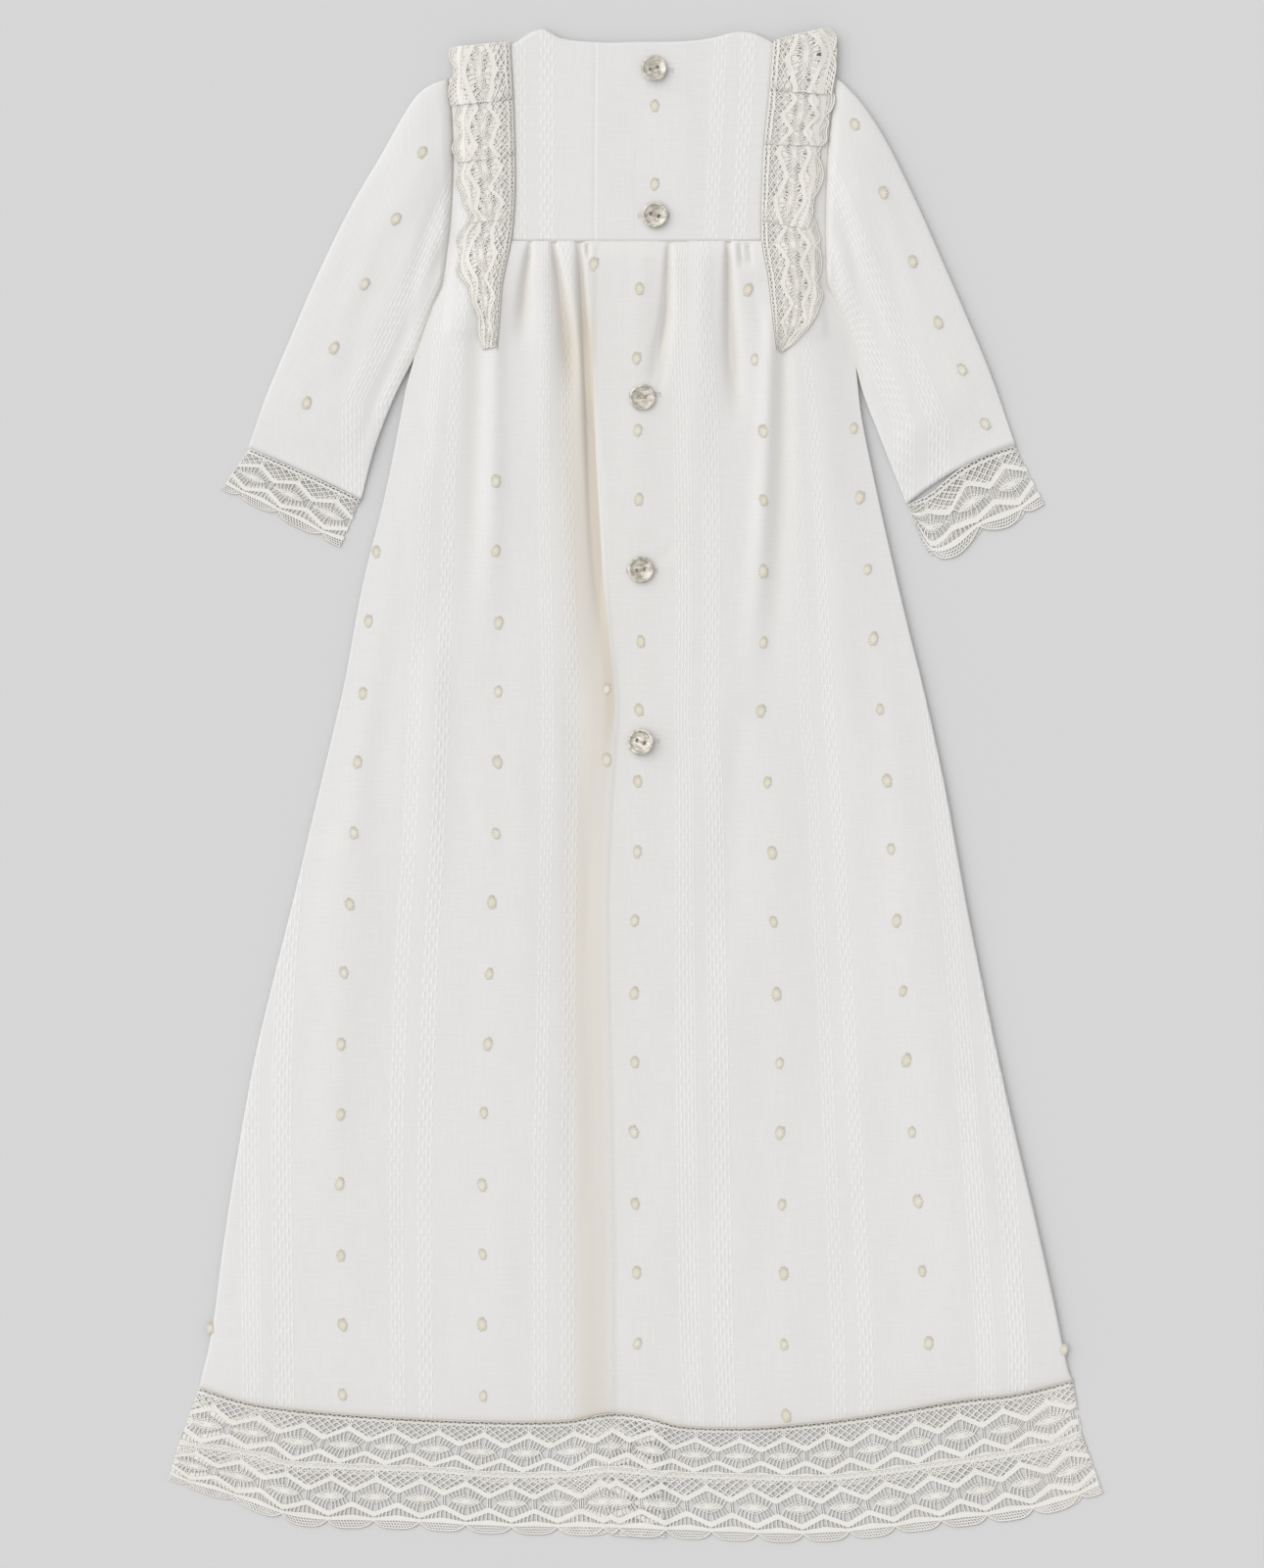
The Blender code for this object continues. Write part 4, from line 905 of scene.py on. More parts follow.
def lay_lace(mesh, points, position, height, relief=1.0):
    """Puts a band in place: position gives x and y, height gives z, both from run and depth."""
    run, depth, thick = points[:, 0], points[:, 1], points[:, 2]
    x, y = position(run, depth)
    set_coordinates(mesh, place(x, y, height(run, depth, x, y) + thick * relief))
    add_map(mesh, run * REPEAT * MM, depth * MM, "lace")
    return mesh


def hem_row(key, run_to_x):
    """Position function of one row of the hem, from run (in repeats) and depth."""
    upper, lower = (hem, lace_join) if key == "upper" else (lace_join, lace_edge)
    upper_ends, lower_ends = (HEM_ENDS, JOIN_ENDS) if key == "upper" else (JOIN_ENDS, EDGE_ENDS)
    full = ROW_DEPTH if key == "upper" else LACE_DEPTH

    def position(run, depth):
        edge_x = run_to_x(run)
        part = (edge_x - EDGE_ENDS[0]) / (EDGE_ENDS[1] - EDGE_ENDS[0])
        x_upper, x_lower = blend(*upper_ends, part), blend(*lower_ends, part)
        share = depth / full
        return (blend(x_upper, x_lower, share), blend(upper(x_upper) + 0.1, lower(x_lower), share))
    return position


def hem_band(name, key, ends, first, step, level, over=None):
    """A row of the hem between two ends, its spiders at first, first + step and so on."""
    low, high = sorted((end - first) / abs(step) for end in ends)
    start = math.floor(low)
    count = math.ceil(high) - start
    mesh, points = lace_band(name, lace_unit(), count, (low, high), start)
    return lay_lace(mesh, points, hem_row(key, lambda run: first + abs(step) * run),
                    hem_height(level, key, over), 0.3)


def front_band(name, key):
    """A row of the front's hem, its spiders under those of the back but for the far ends."""
    left, left_step = HEM_SPIDERS[key]["left"]
    right, right_step = HEM_SPIDERS[key]["right"]
    if key == "lower":
        left = left + left_step
    runs = [-11, -7, -1, 1, 9, 13]
    places = [left + 10 * left_step - 14, left + 6 * left_step, left, right + right_step,
              right + 9 * right_step, right + 13 * right_step + 12]
    low, high = np.interp(EDGE_ENDS, places, runs)
    start = math.floor(low)
    mesh, points = lace_band(name, lace_unit(), math.ceil(high) - start, (low, high), start)
    return lay_lace(mesh, points, hem_row(key, lambda run: np.interp(run, runs, places) + 0.25),
                    hem_height(LACE_FRONT_LEVEL, key), 0.22)


def hem_height(level, key, over=None):
    """A row's height: the upper row's scallops dip under the lower row."""
    back = level == LACE_BACK_LEVEL

    def height(run, depth, x, y):
        z = np.full(len(x), level)
        if key == "upper":
            z = z - 0.12 * ease((depth - ROW_DEPTH + 1.5) / 1.5)
            if back:
                z = z + 0.3 * ease(1 - depth / 3)
        side = np.minimum(x - curve([(0, -240), (82, -226)])(y),
                          curve([(0, 241), (82, 227)])(y) - x)
        if back:
            z = blend(0.4, z, ease((side + 2) / 14))
        if over is not None:
            z = z + 0.5 * ease((over - x) / 4)
        return z + (0.12 * np.sin(x / 5.0) + 0.1 * np.sin(x / 13.0 + 1)) * (0.5 if back else 0.15)
    return height


# ---------------------------------------------------------------- materials
def new_group(name, inputs, outputs):
    group = bpy.data.node_groups.new(name, "ShaderNodeTree")
    for label, kind, default in inputs:
        socket = group.interface.new_socket(name=label, in_out="INPUT", socket_type=kind)
        if default is not None:
            socket.default_value = default
    for label, kind in outputs:
        group.interface.new_socket(name=label, in_out="OUTPUT", socket_type=kind)
    return group, group.nodes.new("NodeGroupInput"), group.nodes.new("NodeGroupOutput")


class Wiring:
    """Short words for adding and joining nodes in one tree."""

    def __init__(self, tree):
        self.tree = tree

    def node(self, kind, **settings):
        node = self.tree.nodes.new(kind)
        for key, value in settings.items():
            setattr(node, key, value)
        return node

    def set(self, socket, value):
        if isinstance(value, bpy.types.NodeSocket):
            self.tree.links.new(value, socket)
        else:
            socket.default_value = value

    def math(self, operation, *values, clamp=False):
        node = self.node("ShaderNodeMath", operation=operation, use_clamp=clamp)
        for socket, value in zip(node.inputs, values):
            self.set(socket, value)
        return node.outputs[0]

    def noise(self, vector, scale, detail=2.0, roughness=0.5):
        node = self.node("ShaderNodeTexNoise")
        self.set(node.inputs["Vector"], vector)
        self.set(node.inputs["Scale"], scale)
        self.set(node.inputs["Detail"], detail)
        self.set(node.inputs["Roughness"], roughness)
        return node.outputs["Fac"]

    def stretch(self, vector, scale):
        node = self.node("ShaderNodeMapping")
        self.set(node.inputs["Vector"], vector)
        node.inputs["Scale"].default_value = scale
        return node.outputs["Vector"]

    def mix(self, factor, first, second):
        node = self.node("ShaderNodeMix", data_type="RGBA")
        self.set(node.inputs["Factor"], factor)
        self.set(node.inputs["A"], first)
        self.set(node.inputs["B"], second)
        return node.outputs["Result"]

    def attribute(self, name):
        return self.node("ShaderNodeAttribute", attribute_name=name).outputs["Fac"]

    def object_place(self):
        return self.node("ShaderNodeTexCoord").outputs["Object"]

    def ramp(self, value, low, high, to_low=0.0, to_high=1.0):
        node = self.node("ShaderNodeMapRange", interpolation_type="SMOOTHSTEP")
        for socket, given in zip(node.inputs, (value, low, high, to_low, to_high)):
            self.set(socket, given)
        return node.outputs["Result"]


def weave_group():
    """Plain weave: height of the threads and the slubs that vary their tone."""
    group, start, end = new_group(
        "plain_weave", [("Vector", "NodeSocketVector", None), ("Pitch", "NodeSocketFloat", 0.00062)],
        [("Height", "NodeSocketFloat"), ("Slub", "NodeSocketFloat"), ("Threads", "NodeSocketFloat")])
    w = Wiring(group)
    apart = w.node("ShaderNodeSeparateXYZ")
    w.set(apart.inputs[0], start.outputs["Vector"])
    waves = []
    for axis in (0, 1):
        turns = w.math("DIVIDE", apart.outputs[axis], start.outputs["Pitch"])
        waves.append(w.math("SINE", w.math("MULTIPLY", turns, math.tau)))
    threads = w.math("MULTIPLY", waves[0], waves[1])
    down = w.noise(w.stretch(start.outputs["Vector"], (1400, 60, 1)), 1.0, 2.0)
    across = w.noise(w.stretch(start.outputs["Vector"], (70, 1200, 1)), 1.0, 2.0)
    slub = w.math("ADD", w.math("MULTIPLY", down, 0.5), w.math("MULTIPLY", across, 0.5))
    w.set(end.inputs["Height"], w.math("ADD", w.math("MULTIPLY", threads, 0.25), slub))
    w.set(end.inputs["Slub"], slub)
    w.set(end.inputs["Threads"], threads)
    return group


def stripe_group():
    """Dobby stripes beside a line: swaying strands that float on the cloth, more in a wide one."""
    group, start, end = new_group(
        "dobby_stripes",
        [("Vector", "NodeSocketVector", None), ("Wide", "NodeSocketFloat", 1.0),
         ("Narrow", "NodeSocketFloat", 1.0)],
        [("Height", "NodeSocketFloat"), ("Mask", "NodeSocketFloat")])
    w = Wiring(group)
    apart = w.node("ShaderNodeSeparateXYZ")
    w.set(apart.inputs[0], start.outputs["Vector"])
    along = apart.outputs[1]
    turns = w.math("SINE", w.math("MULTIPLY", along, math.tau / 0.0073))
    heights, masks = [], []
    for name, centre, half, sway, between in (("Wide", 0.0081, 0.0050, 0.3, 0.5),
                                              ("Narrow", 0.0072, 0.0041, 0.4, 0.35)):
        across = w.math("SUBTRACT", start.outputs[name], centre)
        mask = w.ramp(w.math("ABSOLUTE", across), half - 0.0003, half + 0.0003, 1.0, 0.0)
        across = w.math("MULTIPLY", across, math.pi / 0.0019)
        strands = w.math("SUBTRACT", w.math("COSINE", across), w.math("MULTIPLY", turns, sway))
        thread = w.ramp(w.math("ABSOLUTE", strands), 0.25, 0.9, 1.0, 0.0)
        floats = w.ramp(w.math("MULTIPLY", w.math("SINE", across), turns), -0.1, 0.6, between, 1.0)
        heights.append(w.math("MULTIPLY", w.math("MULTIPLY", thread, floats), mask))
        masks.append(mask)
    w.set(end.inputs["Height"], w.math("MAXIMUM", *heights))
    w.set(end.inputs["Mask"], w.math("MAXIMUM", *masks))
    return group


def fuzz_group():
    """Uneven twist and fuzz of a soft cotton thread."""
    group, start, end = new_group(
        "soft_thread", [("Vector", "NodeSocketVector", None), ("Scale", "NodeSocketFloat", 1.0)],
        [("Height", "NodeSocketFloat"), ("Tone", "NodeSocketFloat")])
    w = Wiring(group)
    scaled = w.node("ShaderNodeVectorMath", operation="SCALE")
    w.set(scaled.inputs[0], start.outputs["Vector"])
    w.set(scaled.inputs["Scale"], start.outputs["Scale"])
    fine = w.noise(scaled.outputs[0], 1500.0, 3.0, 0.6)
    broad = w.noise(scaled.outputs[0], 60.0, 2.0)
    w.set(end.inputs["Height"], fine)
    tone = w.math("ADD", w.math("MULTIPLY", fine, 0.4), w.math("MULTIPLY", broad, 0.6))
    w.set(end.inputs["Tone"], tone)
    return group


def start_material(name, roughness, sheen=0.0, sheen_roughness=0.5):
    material = bpy.data.materials.new(name)
    material.use_nodes = True
    shader = material.node_tree.nodes["Principled BSDF"]
    shader.inputs["Roughness"].default_value = roughness
    shader.inputs["Sheen Weight"].default_value = sheen
    shader.inputs["Sheen Roughness"].default_value = sheen_roughness
    shader.inputs["Specular IOR Level"].default_value = 0.25
    return material, shader, Wiring(material.node_tree)


def use_group(w, name):
    node = w.node("ShaderNodeGroup")
    node.node_tree = bpy.data.node_groups[name]
    return node


def bump(w, shader, height, distance, strength=1.0):
    node = w.node("ShaderNodeBump")
    node.inputs["Strength"].default_value = strength
    node.inputs["Distance"].default_value = distance
    w.set(node.inputs["Height"], height)
    w.set(shader.inputs["Normal"], node.outputs["Normal"])


def cotton_material():
    """White cotton batiste with raised stripes, with painted shade in its deep folds and hollows."""
    colours = bpy.context.scene.gown_finish
    material, shader, w = start_material("striped_cotton_cloth", 0.86, 0.25, 0.45)
    uv = w.node("ShaderNodeUVMap", uv_map="cloth").outputs["UV"]
    weave = use_group(w, "plain_weave")
    w.set(weave.inputs["Vector"], uv)
    stripes = use_group(w, "dobby_stripes")
    w.set(stripes.inputs["Vector"], uv)
    for label, name in (("Wide", "wide_stripe"), ("Narrow", "narrow_stripe")):
        w.set(stripes.inputs[label], w.attribute(name))
    painted_shade_and_tone = w.attribute("painted_shade_and_tone")
    tone = w.ramp(weave.outputs["Slub"], 0.3, 0.7)
    base = w.mix(tone, (*colours.cotton_shade, 1), (*colours.cotton, 1))
    base = w.mix(w.math("MULTIPLY", stripes.outputs["Height"], 0.6), base, (*colours.stripe, 1))
    patches = w.noise(w.stretch(uv, (9, 5, 1)), 1.0, 3.0)
    base = w.mix(w.ramp(patches, 0.45, 0.8, 0.0, 0.25), base, (*colours.cotton_shade, 1))
    # painted shade: mixes the cloth towards the fold colour by the mesh's painted shade value
    base = w.mix(painted_shade_and_tone, base, (*colours.fold, 1))
    w.set(shader.inputs["Base Color"], base)
    threads = w.math("MULTIPLY", weave.outputs["Height"], 0.35)
    relief = w.math("ADD", threads, stripes.outputs["Height"])
    bump(w, shader, relief, 0.00014)
    return material


def thread_material(name, colour, shade, roughness=0.9, sheen=0.2, scale=1.0, relief=0.0001):
    """Twisted cotton thread of spots or sewing."""
    material, shader, w = start_material(name, roughness, sheen)
    fuzz = use_group(w, "soft_thread")
    w.set(fuzz.inputs["Vector"], w.object_place())
    w.set(fuzz.inputs["Scale"], scale)
    base = w.mix(w.ramp(fuzz.outputs["Tone"], 0.3, 0.7), (*shade, 1), (*colour, 1))
    # painted shade: where the mesh asks for it, as at the clip spots' edges, the thread is mixed towards
    # a darker shade
    painted_shade_and_tone = w.attribute("painted_shade_and_tone")
    w.set(shader.inputs["Base Color"], w.mix(painted_shade_and_tone, base, tuple(0.74 * v for v in shade) + (1,)))
    bump(w, shader, fuzz.outputs["Height"], relief)
    return material


def lace_material(name, colour, shade):
    """Lace thread, woven like cloth where the trails are, with painted shade between the woven threads
    and where the mesh asks for it.
    """
    fold = bpy.context.scene.gown_finish.fold
    material, shader, w = start_material(name, 0.9, 0.15)
    fuzz = use_group(w, "soft_thread")
    w.set(fuzz.inputs["Vector"], w.object_place())
    weave = use_group(w, "plain_weave")
    w.set(weave.inputs["Vector"], w.node("ShaderNodeUVMap", uv_map="lace").outputs["UV"])
    w.set(weave.inputs["Pitch"], 0.0013)
    base = w.mix(w.ramp(fuzz.outputs["Tone"], 0.35, 0.65), (*shade, 1), (*colour, 1))
    # painted shade between the woven threads of the trails
    base = w.mix(w.ramp(weave.outputs["Threads"], -0.9, -0.35, 0.35, 0.0), base, (*fold, 1))
    # painted shade where the mesh asks for it
    painted_shade_and_tone = w.attribute("painted_shade_and_tone")
    base = w.mix(w.math("MULTIPLY", painted_shade_and_tone, 0.8), base, (*fold, 1))
    w.set(shader.inputs["Base Color"], base)
    threads = w.math("MULTIPLY", weave.outputs["Threads"], 0.4)
    relief = w.math("ADD", fuzz.outputs["Height"], threads)
    bump(w, shader, relief, 0.00008)
    return material


def pearl_material():
    """Mother of pearl: cloudy grey with green and rose glints in layers."""
    colours = bpy.context.scene.gown_finish
    material, shader, w = start_material("pearl_shell", 0.2)
    shader.inputs["Coat Weight"].default_value = 0.6
    shader.inputs["Coat Roughness"].default_value = 0.08
    shader.inputs["Specular IOR Level"].default_value = 0.7
    shader.inputs["Metallic"].default_value = 0.2
    point = w.object_place()
    cloud = w.noise(w.stretch(point, (260, 420, 300)), 1.0, 4.0, 0.65)
    band = w.noise(w.stretch(point, (700, 240, 500)), 1.0, 3.0, 0.6)
    grain = w.noise(point, 2400.0, 2.0)
    base = w.mix(w.ramp(cloud, 0.35, 0.65), (*colours.pearl_deep, 1), (*colours.pearl, 1))
    base = w.mix(w.ramp(band, 0.55, 0.7, 0.0, 0.6), base, (0.50, 0.56, 0.42, 1))
    base = w.mix(w.ramp(band, 0.42, 0.3, 0.0, 0.5), base, (0.66, 0.52, 0.50, 1))
    w.set(shader.inputs["Base Color"], base)
    w.set(shader.inputs["Roughness"], w.ramp(grain, 0.3, 0.7, 0.16, 0.34))
    relief = w.math("ADD", w.math("MULTIPLY", cloud, 0.8), w.math("MULTIPLY", grain, 0.2))
    bump(w, shader, relief, 0.0003)
    return material


def floor_material():
    colours = bpy.context.scene.gown_finish
    material, shader, w = start_material("pale_floor", 0.9)
    mottle = w.noise(w.object_place(), 3.0, 2.0)
    edge = tuple(value * 0.99 for value in colours.floor)
    w.set(shader.inputs["Base Color"], w.mix(mottle, (*edge, 1), (*colours.floor, 1)))
    return material


def finish_of(name):
    """Material by its piece's finish, made the first time that it is asked for."""
    colours = bpy.context.scene.gown_finish
    if not bpy.data.node_groups.get("plain_weave"):
        weave_group()
        stripe_group()
        fuzz_group()
    makers = {
        "striped_cotton_cloth": cotton_material,
        "lace_thread": lambda: lace_material(name, colours.lace, colours.lace_shade),
        "inner_lace_thread": lambda: lace_material(name, colours.lace_inside, colours.lace_inside),
        "ruffle_thread": lambda: lace_material(name, colours.lace_inside, colours.lace_shade),
        "button_thread": lambda: thread_material(name, (0.62, 0.56, 0.48), (0.45, 0.38, 0.30)),
        "spot_thread": lambda: thread_material(name, colours.spot, colours.spot_shade, 0.85, 0.3),
        "sewing_thread": lambda: thread_material(name, colours.stitch, colours.stitch_shade),
        "pearl_shell": pearl_material,
        "pale_floor": floor_material,
    }
    return bpy.data.materials.get(name) or makers[name]()


# ---------------------------------------------------------------- sizes and colours to change
def number_property(name, description, default, **settings):
    return bpy.props.FloatProperty(name=name, description=description, default=default, **settings)


class GownSizes(bpy.types.PropertyGroup):
    cloth_thickness: number_property("Cloth thickness", "Thickness of the cotton", 0.0004,
                                     min=0.0001, unit="LENGTH", precision=5)
    spot_width: number_property("Spot width", "Width of a clip spot", 0.0048, unit="LENGTH",
                                precision=4)
    spot_height: number_property("Spot height", "Height of a clip spot", 0.0059, unit="LENGTH",
                                 precision=4)
    button_diameter: number_property("Button diameter", "Diameter of a button", 0.0135,
                                     unit="LENGTH", precision=4)
    camera_height: number_property("Camera height", "Height of the camera above the floor", 3.003,
                                   unit="LENGTH")
    key_strength: number_property("Key light", "Strength of the soft light from the upper left",
                                  1.75)
    key_spread: number_property("Key spread", "Width of the soft light, as an angle", 1.4,
                                subtype="ANGLE")
    sky_strength: number_property("Studio fill", "Strength of the even light from all sides",
                                  0.608)


def colour_property(name, description, default):
    return bpy.props.FloatVectorProperty(name=name, description=description, default=default,
                                         subtype="COLOR", min=0.0, max=1.0)


class GownFinish(bpy.types.PropertyGroup):
    cotton: colour_property("Cotton", "Colour of the cloth", (0.79, 0.786, 0.78))
    cotton_shade: colour_property("Cotton slubs", "Darker threads of the cloth",
                                  (0.755, 0.748, 0.738))
    stripe: colour_property("Stripes", "Raised stripes of the cloth", (0.93, 0.93, 0.925))
    # painted shade: the colour that cloth and lace are mixed towards where shade falls in folds and
    # hollows
    fold: colour_property("Folds", "Cloth deep in a fold", (0.67, 0.615, 0.53))
    lace: colour_property("Lace", "Colour of the lace", (0.85, 0.835, 0.808))
    lace_shade: colour_property("Lace shade", "Darker threads of the lace", (0.815, 0.795, 0.752))
    # warmer than the lace colour: on the inner lace under the back it stands in for the warm shade
    # there, and the ruffles take it as their own colour
    lace_inside: colour_property("Inner lace", "Colour of the lace under the back",
                                 (0.855, 0.83, 0.775))
    spot: colour_property("Spots", "Colour of the clip spots", (0.81, 0.79, 0.72))
    spot_shade: colour_property("Spot shade", "Darker threads of the spots", (0.74, 0.69, 0.56))
    stitch: colour_property("Sewing", "Colour of the sewing thread", (0.79, 0.755, 0.70))
    stitch_shade: colour_property("Sewing shade", "Darker sewing thread", (0.68, 0.62, 0.55))
    pearl: colour_property("Pearl", "Bright mother of pearl", (0.76, 0.715, 0.64))
    pearl_deep: colour_property("Pearl shade", "Deep mother of pearl", (0.36, 0.33, 0.27))
    floor: colour_property("Floor", "Colour of the floor", (0.68, 0.68, 0.685))


# ---------------------------------------------------------------- operators
class GOWN_OT_stage(bpy.types.Operator):
    """Add the floor, the soft lights and the camera straight above the gown"""
    bl_idname = "gown.stage"
    bl_label = "Stage"

    def execute(self, context):
        sizes = context.scene.gown_sizes
        bm = bmesh.new()
        bmesh.ops.create_grid(bm, x_segments=1, y_segments=1, size=4.0)
        bmesh.ops.translate(bm, vec=(0, 0, -0.0002), verts=bm.verts)
        mesh = to_mesh("floor", bm)
        mesh.materials.append(finish_of("pale_floor"))
        floor = bpy.data.objects.new("floor", mesh)
        context.scene.collection.objects.link(floor)
        world = bpy.data.worlds.new("studio")
        world.use_nodes = True
        sky = world.node_tree.nodes["Background"]
        sky.inputs["Color"].default_value = (1.0, 0.995, 0.99, 1)
        sky.inputs["Strength"].default_value = sizes.sky_strength
        context.scene.world = world
        context.scene.view_settings.view_transform = "Standard"
        lamp = bpy.data.lights.new("soft_key", "SUN")
        lamp.energy = sizes.key_strength
        lamp.angle = sizes.key_spread
        light = bpy.data.objects.new("soft_key", lamp)
        light.rotation_euler = Vector((1.0, -0.62, -1.15)).to_track_quat("-Z", "Y").to_euler()
        context.scene.collection.objects.link(light)
        data = bpy.data.cameras.new("camera")
        data.lens = 135.0
        data.sensor_width = 36.0
        camera = bpy.data.objects.new("camera", data)
        camera.location = (*CAMERA_OVER, sizes.camera_height)
        context.scene.collection.objects.link(camera)
        context.scene.camera = camera
        return {"FINISHED"}


class GOWN_OT_front(bpy.types.Operator):
    """Add the front of the gown, which lies flat on the floor"""
    bl_idname = "gown.front"
    bl_label = "Front"

    def execute(self, context):
        lines = [left_side, left_seam, placket, right_seam, right_side]
        mesh = body("front_skirt", lines, [20, 12, 14, 20], 20, True, front_height,
                    (RIGHT_SPOTS, RIGHT_WARP), 16, 90)
        drop_middle_strap(mesh)
        piece = add_cloth("front_skirt", mesh, "front_body")
        mesh = yoke("front_bodice", left_seam, right_seam, FRONT_NECKLINE, 40, 30,
                    lambda x, y: np.full(len(x), FRONT_LEVEL), (-51.8, 52.0))
        piece = add_cloth("front_bodice", mesh, "front_yoke")
        return {"FINISHED"}


def drop_middle_strap(mesh):
    """The front's upper part keeps only its two straps beside the bodice."""
    bm = bmesh.new()
    bm.from_mesh(mesh)
    gone = []
    for face in bm.faces:
        centre = face.calc_center_median()
        x = centre.x / MM + FOOTPRINT_MIDDLE[0]
        y = centre.y / MM + FOOTPRINT_MIDDLE[1]
        if y > YOKE_SEAM + 0.5 and left_seam(y) < x < right_seam(y):
            gone.append(face)
    bmesh.ops.delete(bm, geom=gone, context="FACES")
    bm.to_mesh(mesh)
    bm.free()


class GOWN_OT_back(bpy.types.Operator):
    """Add the two backs of the skirt, gathered at the yoke and buttoned right over left"""
    bl_idname = "gown.back"
    bl_label = "Back"

    def execute(self, context):
        lines = [left_side, left_seam, gather(0), gather(1), gather(2), placket, underlap]
        mesh = body("back_skirt_left", lines, [40, 12, 18, 18, 12, 10], 40, True, left_height,
                    (LEFT_SPOTS, LEFT_WARP))
        piece = add_cloth("back_skirt_left", mesh, "back_body_left")
        lines = [placket, gather(4), gather(5), right_seam, right_side]
        mesh = body("back_skirt_right", lines, [34, 28, 16, 40], 40, False, right_height,
                    (RIGHT_SPOTS, RIGHT_WARP))
        piece = add_cloth("back_skirt_right", mesh, "back_body_right")
        return {"FINISHED"}


class GOWN_OT_yoke(bpy.types.Operator):
    """Add the two halves of the back yoke"""
    bl_idname = "gown.yoke"
    bl_label = "Yoke"

    def execute(self, context):
        mesh = yoke("yoke_left", left_seam, underlap, NECKLINE, 60, 56, yoke_left_height, (-51.8,))
        piece = add_cloth("yoke_left", mesh, "back_yoke_left")
        mesh = yoke("yoke_right", placket, right_seam, NECKLINE, 66, 56, yoke_right_height, (51.0,))
        piece = add_cloth("yoke_right", mesh, "back_yoke_right")
        return {"FINISHED"}


class GOWN_OT_sleeves(bpy.types.Operator):
    """Add the two long sleeves, flattened tubes open at armhole and wrist"""
    bl_idname = "gown.sleeves"
    bl_label = "Sleeves"

    def execute(self, context):
        for side, sections, creases, spots in (
                ("left", LEFT_SLEEVE, LEFT_SLEEVE_CREASES, LEFT_SLEEVE_SPOTS),
                ("right", RIGHT_SLEEVE, RIGHT_SLEEVE_CREASES, RIGHT_SLEEVE_SPOTS)):
            name = f"sleeve_cloth_{side}"
            mesh = sleeve(name, sections, creases, spots)
            piece = add_cloth(name, mesh, f"sleeve_{side}", -1.0)
        return {"FINISHED"}


class GOWN_OT_hem_lace(bpy.types.Operator):
    """Add the two rows of bobbin lace round the hem, front and back"""
    bl_idname = "gown.hem_lace"
    bl_label = "Hem lace"

    def execute(self, context):
        reach = {"left": (EDGE_ENDS[0], UNDERLAP_HEM_X), "right": (-12.0, EDGE_ENDS[1])}
        for key in ("upper", "lower"):
            for side, ends in reach.items():
                first, step = HEM_SPIDERS[key][side]
                name = f"hem_lace_{key}_{side}"
                over = UNDERLAP_HEM_X + 3.0 if side == "right" else None
                mesh = hem_band(name, key, ends, first, step, LACE_BACK_LEVEL, over)
                piece = add_piece(name, mesh, finish_of("lace_thread"), LACE, f"back_{name}")
            name = f"front_hem_lace_{key}_net"
            mesh = front_band(name, key)
            piece = add_piece(name, mesh, finish_of("inner_lace_thread"), LACE,
                              f"front_hem_lace_{key}")
        return {"FINISHED"}


def lace_unit():
    return bpy.data.meshes.get("lace_repeat") or lace_repeat()


class GOWN_OT_cuffs(bpy.types.Operator):
    """Add the lace at the wrists, an upper and a lower layer each"""
    bl_idname = "gown.cuffs"
    bl_label = "Cuff lace"

    def execute(self, context):
        for side, spec in CUFFS.items():
            joint = [curve([(row[0], row[axis]) for row in spec["joint"]]) for axis in (1, 2)]
            edge = [curve([(row[0], row[axis]) for row in spec["edge"]]) for axis in (1, 2)]
            count = spec["repeats"]
            middle = np.mean([spec[key][end][1] for key in ("joint", "edge") for end in (0, -1)])

            def position(run, depth):
                part, share = run / count, (depth - 0.5) / (LACE_DEPTH - 0.5)
                return tuple(blend(joint[axis](part), edge[axis](part), share) for axis in (0, 1))
            for layer, shift in (("top", 0.5), ("under", 0.62)):
                def height(run, depth, x, y):
                    arch = 1 - np.minimum(1.0, np.abs(x - middle) / 34)
                    if layer == "under":
                        return np.full(len(x), LACE_FRONT_LEVEL)
                    at_wrist = 0.8 * ease(1 - depth / 7)
                    return 0.5 + 0.3 * ease(arch) + 0.08 * np.sin(run * 5.0) + at_wrist
                name = f"cuff_{side}_{layer}"
                mesh, points = lace_band(name, lace_unit(), count, (shift, count + shift))
                points[:, 0] -= shift
                lay_lace(mesh, points, position, height, 0.3)
                piece = add_piece(name, mesh, finish_of("lace_thread"), LACE,
                                  f"cuff_lace_{side}_{layer}")
        return {"FINISHED"}


